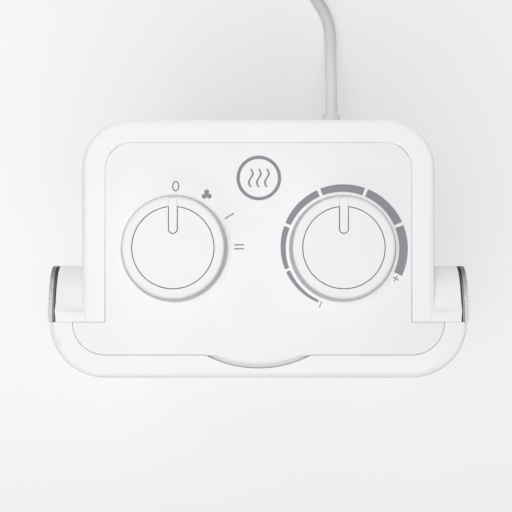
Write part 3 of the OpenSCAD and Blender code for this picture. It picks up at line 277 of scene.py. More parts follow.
coil_count = round(coil_turns * coil_steps)
cord_path = (
    cord_route
    + [coil_point(min(coil_turns * i / coil_count, coil_last)) for i in range(coil_count + 1)]
    + [lead_point(i / lead_steps) for i in range(1, lead_steps + 1)]
)
cord_curve = bpy.data.curves.new("mains_cord", "CURVE")
cord_curve.dimensions = "3D"
cord_curve.bevel_depth = cord_r
cord_curve.bevel_resolution = 6
cord_curve.resolution_u = 4
cord_curve.use_fill_caps = True
spline = cord_curve.splines.new("BEZIER")
spline.bezier_points.add(len(cord_path) - 1)
for point, place in zip(spline.bezier_points, cord_path):
    point.co = place
    point.handle_left_type = point.handle_right_type = "AUTO"
sheath = plastic("soft_sheath", (0.79, 0.79, 0.79), 0.5, drift=0.03, grain=1500, depth=0.00003,
                 Sheen_Weight=0.5, Sheen_Roughness=0.4)
mains_cord = show(bpy.data.objects.new("mains_cord", cord_curve), sheath,
                  replaces=("power_cord", "power_cord_coil"))

# Plug
# A two-pin mains plug in soft white PVC, moulded straight on to the cord.
# Its neck has flex ribs, its grip has hollows for the fingers, and its nickelled pins have sleeves.
sharp_from = 35


def turned(profile, steps=48):
    """A bmesh of a profile of (radius, height) points spun round the Z axis."""
    bm = bmesh.new()
    ring = [bm.verts.new((r, 0, z)) for r, z in profile]
    edges = [bm.edges.new(pair) for pair in zip(ring, ring[1:])]
    bmesh.ops.spin(bm, geom=ring + edges, cent=(0, 0, 0), axis=(0, 0, 1), dvec=(0, 0, 0),
                   angle=math.tau, steps=steps, use_merge=True, use_duplicate=False)
    bmesh.ops.remove_doubles(bm, verts=bm.verts, dist=1e-6)
    return bm


def finished(name, bm, place=None, sharp=sharp_from):
    """An object of a bmesh, put in place in its mesh, and shaded smooth up to so sharp an edge."""
    for face in bm.faces:
        face.smooth = True
    for edge in bm.edges:
        edge.smooth = edge.calc_face_angle(math.pi) < math.radians(sharp)
    if place:
        bmesh.ops.transform(bm, matrix=place, verts=bm.verts)
    mesh = bpy.data.meshes.new(name)
    bm.to_mesh(mesh)
    bm.free()
    return bpy.data.objects.new(name, mesh)


def solid(name, bm, *place, **settings):
    """A finished object of a new bmesh, whose faces are first turned to point outwards."""
    bmesh.ops.recalc_face_normals(bm, faces=bm.faces)
    return finished(name, bm, *place, **settings)


def joined(first, *others):
    """The first bmesh with the others added to it."""
    for other in others:
        spare = bpy.data.meshes.new("spare")
        other.to_mesh(spare)
        other.free()
        first.from_mesh(spare)
        bpy.data.meshes.remove(spare)
    return first


plug_r = 18.5 * mm
neck_tip = 5 * mm
neck_root = 9 * mm
neck_long = 14 * mm
neck_ribs = 5
rib_deep = 0.9 * mm
plug_gap = 0.2 * mm
plug_start = Vector((coil_end[0], coil_end[1], plug_z)) + (lead_length + plug_gap) * lead_way
plug_turn = Matrix.Rotation(lead_angle, 4, "Z") @ Matrix.Rotation(math.pi / 2, 4, "Y")
plug_place = Matrix.Translation(plug_start) @ plug_turn
neck = [(0, 0), (neck_tip - 0.6 * mm, 0)]
for i in range(neck_ribs):
    at = neck_long * (0.06 + 0.9 * i / neck_ribs)
    r = neck_tip + (neck_root - neck_tip) * at / neck_long
    neck += [(r, at), (r, at + 1.3 * mm), (r - rib_deep, at + 1.7 * mm), (r - rib_deep, at + 2.3 * mm)]
grip = [
    (neck_root - 0.4 * mm, neck_long), (10.5 * mm, 16 * mm), (13.8 * mm, 18.4 * mm),
    (15.6 * mm, 20.4 * mm), (16.4 * mm, 22.6 * mm), (16.6 * mm, 25 * mm), (16.9 * mm, 27.4 * mm),
    (17.8 * mm, 29 * mm), (plug_r, 30.2 * mm), (plug_r, 35.2 * mm), (plug_r - 0.8 * mm, 36 * mm),
    (plug_r - 2.2 * mm, 36 * mm), (plug_r - 2.8 * mm, 35.4 * mm), (0, 35.4 * mm),
]
plug = solid("mains_plug", turned(neck + grip, steps=64), plug_place)
plug_skin = plastic("plug_pvc", (0.78, 0.78, 0.78), 0.38, grain=1300, depth=0.00004)
show(plug, plug_skin, replaces=("power_plug",))
pin_out = 9.5 * mm
pin_r = 2.4 * mm
pin_root = 35 * mm
pin_end = 55 * mm
pin = [
    (0, pin_root), (pin_r, pin_root), (pin_r, pin_end - 1.8 * mm), (pin_r * 0.88, pin_end - 0.8 * mm),
    (pin_r * 0.6, pin_end - 0.2 * mm), (0, pin_end),
]


def metal_surface():
    """Bare metal: drawn lines along one axis, patches of dullness and a little tone."""
    group, given, made = effect(
        "metal_surface",
        [
            ("Colour", "NodeSocketColor", (0.6, 0.6, 0.6, 1)),
            ("Drift", "NodeSocketFloat", 0.06),
            ("Roughness", "NodeSocketFloat", 0.3),
            ("Gloss Drift", "NodeSocketFloat", 0.2),
            ("Line Scale", "NodeSocketVector", (4000, 4000, 60)),
            ("Line Depth", "NodeSocketFloat", 0.00001),
        ],
        [("Colour", "NodeSocketColor"), ("Roughness", "NodeSocketFloat"), ("Normal", "NodeSocketVector")],
    )
    place = where(group)
    drawn = add(group, "ShaderNodeVectorMath", place, given["Line Scale"], operation="MULTIPLY")
    lines = mottle(group, drawn.outputs[0], scale=1, detail=2)
    patches = mottle(group, place, scale=90, detail=4)
    feed(group, made["Colour"], tinted(group, patches, given["Drift"], given["Colour"]))
    feed(group, made["Roughness"], dulled(group, patches, given["Gloss Drift"], given["Roughness"]))
    feed(group, made["Normal"], raised(group, lines, given["Line Depth"], strength=0.5))
    return group


metal_skin = metal_surface()


def metal(name, colour, roughness, lines, drift=0.06):
    """A bare metal finish with its drawn or rolled lines along the axis of the smallest scale."""
    made, shader = material(name, Metallic=1.0)
    use(made, shader, metal_skin, Colour=(*colour, 1), Roughness=roughness, Drift=drift, Line_Scale=lines)
    return made


def on_both_pins(profile):
    """A profile spun round the axis of each of the two pins."""
    spun = [turned(profile, steps=24) for _ in range(2)]
    for side, bm in zip((-1, 1), spun):
        bmesh.ops.translate(bm, verts=bm.verts, vec=(side * pin_out, 0, 0))
    return joined(*spun)


plug_pins = solid("plug_pins", on_both_pins(pin), plug_place)
show(plug_pins, metal("nickel", (0.66, 0.63, 0.58), 0.22, lines=(300, 300, 300)))
collar_in = pin_r - 0.2 * mm
collar_out = pin_r + 0.02 * mm
collar = [
    (collar_in, pin_root), (collar_out, pin_root), (collar_out, 44.6 * mm), (collar_in, 44.8 * mm),
    (collar_in, pin_root),
]
pin_sleeves = solid("pin_sleeves", on_both_pins(collar), plug_place)
show(pin_sleeves, plug_skin)

# Cord sleeve
# A soft PVC gland that sits in a round hole of the rear wall, between an inner and an outer flange.
# Behind the outer flange it runs out in a taper with five flex ribs, 24 mm long.
rear_y = 59.4 * mm
wall = 2.5 * mm
gland_neck = 7 * mm
gland_long = 24 * mm
gland_bore = cord_r + 0.05 * mm
gland_root = gland_neck - 0.6 * mm
gland_tip = cord_r + 1.1 * mm
flange_fit = 0.1 * mm
inner_r = gland_neck + 2 * mm
inner_end = -wall - 3.8 * mm
outer_r = gland_neck + 2.4 * mm
first_rib = 4.8 * mm
rib_pitch = 3.36 * mm
rib_out = 0.9 * mm
rib_step = 0.36 * mm
gland_ribs = 5
gland_profile = [
    (gland_bore, inner_end), (inner_r - 0.4 * mm, inner_end), (inner_r, inner_end + 0.4 * mm),
    (inner_r, -wall - flange_fit), (gland_neck, -wall - flange_fit), (gland_neck, flange_fit),
    (outer_r, flange_fit), (outer_r, 1.7 * mm), (outer_r - 0.3 * mm, 2.2 * mm),
    (outer_r - 0.8 * mm, 2.5 * mm), (gland_root, 2.7 * mm),
]
for i in range(gland_ribs):
    at = first_rib + i * rib_pitch
    taper = gland_root - (gland_root - gland_tip) * at / gland_long
    rib = gland_root + rib_out - i * rib_step
    gland_profile += [
        (taper, at - 0.15 * mm), (rib - 0.3 * mm, at), (rib, at + 0.4 * mm), (rib, at + 1.4 * mm),
        (rib - 0.3 * mm, at + 1.8 * mm), (taper - 0.1 * mm, at + 1.95 * mm),
    ]
gland_profile += [
    (gland_tip, gland_long - 0.4 * mm), (gland_tip - 0.4 * mm, gland_long), (gland_bore, gland_long),
    (gland_bore, inner_end),
]
gland_place = Matrix.Translation((cord_x, rear_y, cord_z)) @ Matrix.Rotation(-math.pi / 2, 4, "X")
cord_sleeve = solid("cord_sleeve", turned(gland_profile), gland_place, sharp=50)
show(cord_sleeve, sheath, replaces=("cord_gland",))

# Front frame
# One ABS moulding that wraps both front corners and carries the air outlet in its face.
# Its skin is a fine satin grain, and the mould leaves every outer edge slightly rounded.
rim_z = 235 * mm
rim_round = 2.2 * mm
frame_round = 1.0 * mm
mould_round = 0.12 * mm
merge_within = 0.002 * mm
flat_within = 0.4


def moulding(node, name, rounding):
    """A copy of a CAD node, merged, with its sharp edges rounded off as a mould leaves them."""
    bm = bmesh.new()
    bm.from_mesh(nodes[node].data)
    bmesh.ops.remove_doubles(bm, verts=bm.verts, dist=merge_within)
    bmesh.ops.dissolve_limit(bm, angle_limit=math.radians(flat_within), verts=bm.verts,
                             edges=bm.edges)
    piece = finished(name, bm)
    edge = piece.modifiers.new("mould_edge", "BEVEL")
    edge.width = rounding
    edge.segments = 2
    edge.limit_method = "ANGLE"
    edge.angle_limit = math.radians(sharp_from)
    edge.harden_normals = True
    return piece


def facings(piece):
    """The vertices of a piece, each with its normal from before any of them is moved."""
    return zip(piece.data.vertices, [normal.vector.copy() for normal in piece.data.vertex_normals])


def sideways(way):
    """The level part of a direction, one long."""
    return Vector((way.x, way.y, 0)).normalized()


def crisp(piece, top, was, now, middle=(0, 0)):
    """Draws the rounding of a piece's top outer edge in from radius was to radius now."""
    # On the rounding, rise goes from 0 at its foot to 1 at its top, and so does the normal's z.
    for v, normal in facings(piece):
        rise = (v.co.z - (top - was)) / was
        out = sideways(normal)
        faces_out = out.x * (v.co.x - middle[0]) + out.y * (v.co.y - middle[1]) > 0
        follows_curve = abs(normal.z - rise) < 0.2
        if -0.001 < rise < 0.995 and faces_out and follows_curve:
            rise = max(rise, 0)
            v.co += (was - now) * (1 - math.sqrt(1 - rise * rise)) * out
            v.co.z += (was - now) * (1 - rise)
    return piece


shell_white = plastic("satin_abs", (0.925, 0.925, 0.928), 0.36, drift=0.006)
frame_moulding = moulding("front_frame", "front_frame_moulding", mould_round)
show(crisp(frame_moulding, rim_z, rim_round, frame_round), shell_white,
     replaces=("front_frame",))

# Rear housing
# Side walls, rear corners and rear wall in one ABS moulding, with a rounded shoulder at each side.
# Long screws reach through its towers into the front frame. It has the same satin grain.
housing_round = 1.2 * mm
housing_moulding = moulding("rear_housing", "rear_housing_moulding", mould_round)
show(crisp(housing_moulding, rim_z, rim_round, housing_round), shell_white,
     replaces=("rear_housing",))

# Control deck
# A flat T-shaped ABS plate, set flush in the two shells and clipped over their ledges.
# Its grain is fine, so that the printed scales stay sharp. Painted shade darkens the deck along
# the rim of the notch, most in its two corners.
deck_white, deck_shader = material("deck_abs")
deck_skin = use(deck_white, deck_shader, skin, Colour=(0.862, 0.862, 0.876, 1), Roughness=0.33,
                Drift=0.006, Grain_Scale=3200, Grain_Depth=0.00001)


def part_of(tree, vector, axis):
    """The X, Y or Z of a vector."""
    return add(tree, "ShaderNodeSeparateXYZ", vector).outputs[axis]


def mixed(tree, share, first, second):
    """The first colour turned into the second as share goes from 0 to 1."""
    node = add(tree, "ShaderNodeMix", share, data_type="RGBA")
    feed(tree, node.inputs[6], first)
    feed(tree, node.inputs[7], second)
    return node.outputs[2]


deck_tree = deck_white.node_tree
notch_r = 52.3 * mm
notch_y = -2.8 * mm
# Painted shade: the deck's colour darkens towards the notch's arc, most in its two corners.
notch_shade_width = 1.4 * mm
notch_from = -46.4 * mm
corner_to = -46.8 * mm
middle_from = -49 * mm
middle_shade = 0.2
from_notch = add(deck_tree, "ShaderNodeVectorMath", where(deck_tree), (1, 1, 0), (0, -notch_y, 0),
                 operation="MULTIPLY_ADD").outputs[0]
notch_out = add(deck_tree, "ShaderNodeVectorMath", from_notch, operation="LENGTH").outputs["Value"]
near_rim = ranged(deck_tree, notch_out, notch_r - notch_shade_width, notch_r, interpolation_type="SMOOTHSTEP")
forward = part_of(deck_tree, from_notch, "Y")
in_notch = maths(deck_tree, "LESS_THAN", forward, notch_from)
corner_shade = ranged(deck_tree, forward, middle_from, corner_to, middle_shade)
painted_notch_shade = maths(deck_tree, "MULTIPLY", maths(deck_tree, "MULTIPLY", near_rim, in_notch), corner_shade)
deck_colour = mixed(deck_tree, painted_notch_shade, deck_skin.outputs["Colour"], (0.26, 0.26, 0.27, 1))
feed(deck_tree, deck_shader.inputs["Base Color"], deck_colour)
deck_mould_round = 0.08 * mm
deck = moulding("top_deck", "deck_moulding", deck_mould_round)
bar_y = -34 * mm
behind_bar = bar_y + 0.5 * mm
rim_x, rim_y = 69 * mm, 47 * mm
seam_close = 0.12 * mm
seam_close_front = 0.06 * mm
roll_y = -49.1 * mm
roll_drop = 2.2 * mm
roll_lower = 0.5 * mm
slack = 0.1 * mm
fine_slack = 0.02 * mm
just_below_rim = rim_z - 0.001 * mm
for v, way in facings(deck):
    # The rim grows a little into the seam round it, which stays as fine as on a well-fitted plate.
    on_rim = abs(v.co.x) > rim_x or v.co.y > rim_y
    if v.co.y > behind_bar and on_rim:
        v.co += seam_close * sideways(way)
    elif abs(v.co.y - bar_y) < slack and on_rim:
        v.co.y += seam_close_front
    # The roll into the notch makes room for the lip.
    if v.co.y < roll_y and rim_z - roll_drop - slack < v.co.z < just_below_rim:
        v.co.z -= roll_lower
for edge in deck.data.edges:
    if all(abs(deck.data.vertices[i].co.y - roll_y) < fine_slack for i in edge.vertices):
        edge.use_edge_sharp = True
show(deck, deck_white, replaces=("top_deck",))
# The lip is spun finely round the middle of the notch's arc and cut off where the roll starts.
lip_root = 45 * mm
lip_flat = 48 * mm
lip_out = notch_r - 0.25 * mm
lip_long = 2.3 * mm
lip_drop = 0.8 * mm
lip_thick = 1 * mm
lip_deep = 1.6 * mm
lip_steps = 8
lip = [(lip_root, rim_z - lip_thick), (lip_root, rim_z), (lip_flat, rim_z)]
for i in range(lip_steps + 1):
    part = i / lip_steps
    lip.append((lip_out - lip_long * (1 - part), rim_z - lip_drop * part ** 1.8))
lip += [(lip_out, rim_z - lip_deep), (lip_flat, rim_z - lip_thick), lip[0]]
lip_bm = turned(lip, steps=240)
cut = bmesh.ops.bisect_plane(lip_bm, geom=lip_bm.verts[:] + lip_bm.edges[:] + lip_bm.faces[:], dist=1e-7,
                             plane_co=(0, roll_y - notch_y, 0), plane_no=(0, 1, 0), clear_outer=True)
bmesh.ops.edgeloop_fill(lip_bm, edges=[e for e in cut["geom_cut"] if isinstance(e, bmesh.types.BMEdge)])
show(solid("notch_lip", lip_bm, Matrix.Translation((0, notch_y, 0))), deck_white)

# Knobs
# Two smooth ABS knobs, each with a raised pointer and a separate cap pressed into its ring.
# Fingers have polished the tops, the skirts are matt and greyed by painted shade, and painted shade
# darkens the caps' seams.
knob_white = plastic("knob_abs", (0.862, 0.862, 0.87), 0.33, drift=0.003, grain=3600, depth=0.000004,
                     gloss=0.02)
# Painted shade: a near-black colour in the seams between caps and rings, and a greyer one on the upright
# skirts.
gap_shade = plastic("gap_shade", (0.05, 0.05, 0.052), 0.7, drift=0.2, grain=3000)
knob_skirt_shade = plastic("knob_skirt_shade", (0.64, 0.64, 0.647), 0.42, grain=1500, depth=0.00003)
knob_top = 250 * mm
knob_was_round = 1.2 * mm
knob_round = 0.3 * mm
knob_mould_round = 0.1 * mm
cap_r = 18.8 * mm
cap_gap = 0.5 * mm
cap_fit = 0.12 * mm
cap_face = 1 * mm
gap_deep = 4 * mm
skirt_out = 2 * mm


def paint_knob_shade(piece, middle, high):
    """The matt skirt greyed by painted shade, and painted shade on the walls of the gap between a knob's
    cap and its ring.
    """
    piece.data.materials.append(gap_shade)
    piece.data.materials.append(knob_skirt_shade)
    for face in piece.data.polygons:
        out = math.hypot(face.center.x - middle.x, face.center.y - middle.y)
        hidden = abs(face.normal.z) < 0.5 or face.center.z < high.z - cap_face
        if hidden and out < cap_r + cap_gap and face.center.z > high.z - gap_deep:
            face.material_index = 1
        elif abs(face.normal.z) < 0.2 and out > cap_r + skirt_out:
            face.material_index = 2


for knob in ("mode_knob", "thermostat_knob"):
    low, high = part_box(knob)
    middle = (low + high) / 2
    ring = moulding(knob, knob + "_ring", knob_mould_round)
    crisp(ring, knob_top, knob_was_round, knob_round, middle)
    show(ring, knob_white, body=knob + "_set", replaces=(knob,))
    cap = moulding(knob + "_cap", knob + "_disc", knob_mould_round)
    for v, way in facings(cap):
        v.co -= cap_fit * sideways(way)
    show(cap, knob_white, body=knob + "_set", replaces=(knob + "_cap",))
    paint_knob_shade(ring, middle, high)
    paint_knob_shade(cap, middle, high)

# Printed scales
# Grey pad print on the deck: an off mark, a fan, one bar and two bars round the mode knob,
# and a band that widens from cold to hot round the thermostat. The ink is a thin flat film.
ink_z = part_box("top_deck")[1].z + 0.02 * mm
ink_t = 0.03 * mm


def film(name, bm, finish):
    """Flat ink shapes given their thickness and laid on the deck."""
    bmesh.ops.remove_doubles(bm, verts=bm.verts, dist=1e-7)
    thick = bmesh.ops.extrude_face_region(bm, geom=bm.faces[:])
    tops = [v for v in thick["geom"] if isinstance(v, bmesh.types.BMVert)]
    bmesh.ops.translate(bm, verts=tops, vec=(0, 0, ink_t))
    return show(solid(name, bm, Matrix.Translation((0, 0, ink_z))), finish)


def bar(w, h, place):
    """A flat bar w wide and h high, in place."""
    bm = bmesh.new()
    sized = place @ Matrix.Diagonal((w, h, 1, 1))
    bmesh.ops.create_grid(bm, x_segments=1, y_segments=1, size=0.5, matrix=sized)
    return bm


def hoop(rx, ry, line, place):
    """A flat oval line, rx by ry out to its outer edge."""
    bm = bmesh.new()
    outer = bmesh.ops.create_circle(bm, cap_ends=True, segments=48, radius=1)["verts"]
    bmesh.ops.scale(bm, verts=outer, vec=(rx, ry, 1))
    bmesh.ops.inset_region(bm, faces=bm.faces, thickness=line, use_boundary=True, use_even_offset=True)
    inner = [f for f in bm.faces if len(f.verts) > 4]
    bmesh.ops.delete(bm, geom=inner, context="FACES")
    bmesh.ops.transform(bm, matrix=place, verts=bm.verts)
    return bm


def trefoil(r, place):
    """A flat disc drawn in between three round blades, one of them pointing back."""
    hub, slimness = 0.22, 0.45
    bm = bmesh.new()
    bmesh.ops.create_circle(bm, cap_ends=True, segments=96, radius=r)
    for v in bm.verts:
        turn = math.atan2(v.co.x, v.co.y)
        v.co *= max(hub, abs(math.cos(1.5 * turn)) ** slimness)
    bmesh.ops.transform(bm, matrix=place, verts=bm.verts)
    return bm


def polar(centre, r, degrees):
    """A place at r from a knob's axis, at an angle clockwise from straight back, turned with it."""
    a = math.radians(degrees)
    spot = Vector((centre[0] + r * math.sin(a), centre[1] + r * math.cos(a), 0))
    return Matrix.Translation(spot) @ Matrix.Rotation(-a, 4, "Z")


ink_line = 0.6 * mm
knob_x = 38.7 * mm
mode_at = (-knob_x, 0)
off_rx, off_ry, off_line = 1.7 * mm, 2.44 * mm, 0.62 * mm
off_place = Matrix.Translation((-knob_x + 0.6 * mm, 28.7 * mm, 0))
fan_mark_r = 2.45 * mm
fan_place = Matrix.Translation(polar(mode_at, 28.9 * mm, 31).translation)
low_long = 4.8 * mm
low_place = polar(mode_at, 29.4 * mm, 59.4)
high_long = 4.5 * mm
high_rises = (1.7 * mm, -0.1 * mm)
high_at = polar(mode_at, 29.7 * mm, 90).translation
mode_print = joined(
    hoop(off_rx, off_ry, off_line, off_place),
    trefoil(fan_mark_r, fan_place),
    bar(ink_line, low_long, low_place),
    *[bar(high_long, ink_line, Matrix.Translation(high_at + Vector((0, y, 0)))) for y in high_rises],
)
ink = plastic("grey_print", (0.24, 0.247, 0.275), 0.5, drift=0.05, grain=5000, depth=0.000004)
film("mode_scale", mode_print, ink)

band_in = 26.1 * mm
band_slim = 1.2 * mm
band_wide = 4.0 * mm
band_from, band_to = -155.5, 114.8
band_step = 3
thermostat_at = (knob_x, 0)


def band(start, stop):
    """One piece of the band, spun round the knob and widened as it goes clockwise."""
    steps = max(4, round((stop - start) / band_step))
    bm = bmesh.new()
    a = math.radians(start)
    way = Vector((math.sin(a), math.cos(a), 0))
    ends = [bm.verts.new(way * band_in), bm.verts.new(way * (band_in + band_slim))]
    edge = bm.edges.new(ends)
    bmesh.ops.spin(bm, geom=ends + [edge], cent=(0, 0, 0), axis=(0, 0, -1), dvec=(0, 0, 0),
                   angle=math.radians(stop - start), steps=steps, use_merge=False,
                   use_duplicate=False)
    for v in bm.verts:
        if v.co.length > band_in + band_slim / 2:
            turn = math.degrees(math.atan2(v.co.x, v.co.y))
            turn += 360 if turn < band_from - 1 else 0
            grown = (turn - band_from) / (band_to - band_from)
            wide = band_slim + (band_wide - band_slim) * grown * (2 - grown)
            v.co = v.co.normalized() * (band_in + wide)
    bmesh.ops.translate(bm, verts=bm.verts, vec=(thermostat_at[0], 0, 0))
    return bm


bands = [
    (band_from, -112.5), (-110, -68.7), (-65.8, -23.6), (-20.4, 20.5), (23.5, 65.9), (68.9, band_to),
]
sign_line = 0.5 * mm
cold_long = 2.9 * mm
hot_long = 3.1 * mm
plus_arm = 1.3 * mm
plus_out = 0.9 * mm
cold_sign = polar(thermostat_at, 27.7 * mm, -158.5)
hot_sign = polar(thermostat_at, 28.1 * mm, 119.5)
thermostat_print = joined(
    *[band(*ends) for ends in bands],
    bar(sign_line, cold_long, cold_sign),
    bar(sign_line, hot_long, hot_sign),
    *[bar(plus_arm, sign_line, hot_sign @ Matrix.Translation((x, 0, 0)))
      for x in (-plus_out, plus_out)],
)
film("thermostat_scale", thermostat_print, ink)

# Heat mark
# A plain printed ring between the knobs, with three rising waves of warm air in it.
# It is printed with the scales, in the same grey ink.
heat_at = (0.2 * mm, 32.5 * mm)
ring_r = 10.3 * mm
ring_line = 1.5 * mm
wave_high = 8.4 * mm
wave_bow = 0.9 * mm
wave_line = 0.9 * mm
wave_pitch = 3.7 * mm
wave_steps = 16


def wave(x):
    """One upright wavy line: a slim bar cut across and bent sideways."""
    bm = bar(wave_line, wave_high, Matrix.Identity(4))
    upright = [e for e in bm.edges if abs(e.verts[0].co.y - e.verts[1].co.y) > wave_high / 2]
    bmesh.ops.subdivide_edges(bm, edges=upright, cuts=wave_steps, use_grid_fill=True)
    for v in bm.verts:
        v.co.x += wave_bow * math.sin(math.tau * v.co.y / wave_high)
    bmesh.ops.translate(bm, verts=bm.verts, vec=(heat_at[0] + x, heat_at[1], 0))
    return bm


heat_print = joined(
    hoop(ring_r, ring_r, ring_line, Matrix.Translation((*heat_at, 0))),
    *[wave(i * wave_pitch) for i in (-1, 0, 1)],
)
film("heat_mark", heat_print, ink)


# Outlet grille
# A honeycomb moulding in dark heat-proof plastic, seated in the outlet from behind.
# Warm air has left it matt, with a slightly browner tone in places.
def dress(node, finish):
    """A CAD node whose shape is right keeps it, and gets its own finish."""
    piece = nodes[node]
    piece.data.materials.clear()
    piece.data.materials.append(finish)


dress("front_grille", plastic("heatproof_grille", (0.045, 0.046, 0.05), 0.5, drift=0.12, grain=1800,
                              depth=0.00004))


# Side grilles
# Louvred intake grilles in dark grey plastic, which clip into the shoulders by a spigot.
# The face plate stands off by a shadow gap, its spigot painted near-black as shade, and pale dust has
# settled where it faces up.
def dusty_surface():
    """Dust on a moulding: a mottle that gathers in patches, from none at 0 to all over at 1."""
    group, given, made = effect(
        "dusty_surface",
        [
            ("Colour", "NodeSocketColor", (0.1, 0.1, 0.1, 1)),
            ("Dust", "NodeSocketColor", (0.5, 0.5, 0.5, 1)),
            ("Cover", "NodeSocketFloat", 0.5),
            ("Softness", "NodeSocketFloat", 0.2),
            ("Patch Scale", "NodeSocketFloat", 260),
        ],
        [("Colour", "NodeSocketColor")],
    )
    patches = mottle(group, where(group), scale=given["Patch Scale"], detail=5, roughness=0.7)
    level_at_0, level_at_1 = 0.68, 0.23
    bare = maths(group, "MULTIPLY_ADD", given["Cover"], level_at_1 - level_at_0, level_at_0)
    full = maths(group, "ADD", bare, given["Softness"])
    dusted = ranged(group, patches, bare, full)
    feed(group, made["Colour"], mixed(group, dusted, given["Colour"], given["Dust"]))
    return group


dust = dusty_surface()
plate_x = 94.5 * mm
side_dark, side_shader = material("side_grille_abs")
side_tree = side_dark.node_tree
use(side_dark, side_shader, skin, Roughness=0.5, Grain_Scale=1500, Grain_Depth=0.00004)
faces_up = part_of(side_tree, add(side_tree, "ShaderNodeNewGeometry").outputs["Normal"], "Z")
# Hardly any dust clings to the upright faces, and it covers those that face up.
settled = ranged(side_tree, faces_up, 0.3, 1.0, 0.15, 1.5)
side_dust = use(side_dark, side_shader, dust, Colour=(0.13, 0.13, 0.135, 1),
                Dust=(0.76, 0.76, 0.76, 1), Cover=settled, Softness=0.5, Patch_Scale=1300)
# Painted shade: the spigot inside the shadow gap is near-black, and the face plate keeps its dusty grey.
side_out = maths(side_tree, "ABSOLUTE", part_of(side_tree, where(side_tree), "X"))
on_plate = maths(side_tree, "GREATER_THAN", side_out, plate_x)
plate_or_shaded_spigot = mixed(side_tree, on_plate, (0.03, 0.03, 0.032, 1), side_dust.outputs["Colour"])
feed(side_tree, side_shader.inputs["Base Color"], plate_or_shaded_spigot)
for side in ("left", "right"):
    dress("side_grille_" + side, side_dark)

# Rear grille
# Two columns of louvres in the same white plastic as the housing, seated from inside.
# The air passes in here, so a trace of dust greys it.
rear_white, rear_shader = material("rear_grille_abs")
use(rear_white, rear_shader, skin, Roughness=0.42)
use(rear_white, rear_shader, dust, Colour=(0.86, 0.86, 0.86, 1), Dust=(0.78, 0.775, 0.76, 1),
    Cover=0.45, Patch_Scale=140)
dress("rear_grille", rear_white)

# Base plate and feet
# A plain grey moulding that closes both shells from below, with four pushed-in rubber feet.
# The feet are matt black and slightly scuffed where they have slid on a table.
dress("base_plate", plastic("base_abs", (0.62, 0.62, 0.63), 0.5, grain=1800, depth=0.00003))
foot_black, foot_shader = material("foot_rubber")
use(foot_black, foot_shader, skin, Roughness=0.8, Grain_Scale=1200, Grain_Depth=0.00005)
use(foot_black, foot_shader, dust, Colour=(0.022, 0.022, 0.023, 1), Dust=(0.12, 0.115, 0.11, 1),
    Cover=0.5, Patch_Scale=420)
dress("rubber_feet", foot_black)

# Screws
# Zinc-plated steel screws: long ones through the towers, short ones inside, four in the base.
# The plating is bright with a faint yellowish bloom.
zinc = metal("zinc_plate", (0.62, 0.61, 0.57), 0.32, lines=(900, 900, 900), drift=0.1)
for screws in ("casing_screws", "inner_screws", "base_screws"):
    dress(screws, zinc)

# Heating core
# Four flat aluminium tubes with ceramic stones inside, folded fins between them, in a heat-proof frame.
# The rolled aluminium has fine lines along X and a dull bloom from heat.
dress("heater_frame", plastic("heatproof_frame", (0.035, 0.032, 0.03), 0.55, drift=0.15, grain=1400,
                              depth=0.00005))
rolled = metal("rolled_aluminium", (0.74, 0.745, 0.75), 0.30, lines=(60, 5000, 5000), drift=0.05)
dress("heater_bars", rolled)
dress("heater_fins", metal("fin_sheet", (0.78, 0.785, 0.79), 0.36, lines=(4000, 80, 4000), drift=0.08))
stone, stone_shader = material("fired_stone", Roughness=0.85)
use(stone, stone_shader, dust, Colour=(0.30, 0.28, 0.255, 1), Dust=(0.45, 0.43, 0.40, 1), Cover=0.8,
    Patch_Scale=1500)
dress("ceramic_stones", stone)
brass = metal("brass_strip", (0.70, 0.50, 0.22), 0.3, lines=(60, 3000, 3000), drift=0.12)
dress("heater_terminals", brass)
phenolic = plastic("phenolic", (0.03, 0.027, 0.026), 0.4, drift=0.1, grain=900)
dress("thermal_cutout", phenolic)
dress("thermal_fuse", plastic("glass_sleeve", (0.70, 0.66, 0.55), 0.6, drift=0.08, grain=2600,
                              depth=0.00008))

# Fan
# An axial fan and its duct in natural white plastic, and the spider that carries the motor.
# They are plainer mouldings than the casing, with a coarser grain.
fan_white = plastic("fan_polypropylene", (0.72, 0.725, 0.73), 0.42, drift=0.03, grain=1100, depth=0.00003)
for piece in ("fan_duct", "fan_impeller", "motor_spider"):
    dress(piece, fan_white)


# Motor
# A shaded-pole motor: a stack of stamped sheets, a winding on its lower bar, two bearing plates.
# The sheets show as fine lines across the stack, and the winding is varnished copper wire.
def layered_surface():
    """Thin layers stacked along an axis, with a dark gap and a fine step between each two."""
    group, given, made = effect(
        "layered_surface",
        [
            ("Colour", "NodeSocketColor", (0.4, 0.4, 0.4, 1)),
            ("Gap", "NodeSocketColor", (0.1, 0.1, 0.1, 1)),
            ("Layers", "NodeSocketFloat", 320),
            ("Axis", "NodeSocketVector", (0, 1, 0)),
            ("Depth", "NodeSocketFloat", 0.0001),
        ],
        [("Colour", "NodeSocketColor"), ("Normal", "NodeSocketVector")],
    )
    along = add(group, "ShaderNodeVectorMath", where(group), given["Axis"], operation="DOT_PRODUCT")
    turns = maths(group, "MULTIPLY", along.outputs["Value"], given["Layers"])
    swell = maths(group, "SINE", maths(group, "MULTIPLY", turns, math.tau))
    out_of_gap = ranged(group, swell, -0.9, -0.3)
    feed(group, made["Colour"], mixed(group, out_of_gap, given["Gap"], given["Colour"]))
    feed(group, made["Normal"], raised(group, swell, given["Depth"], strength=1.0))
    return group


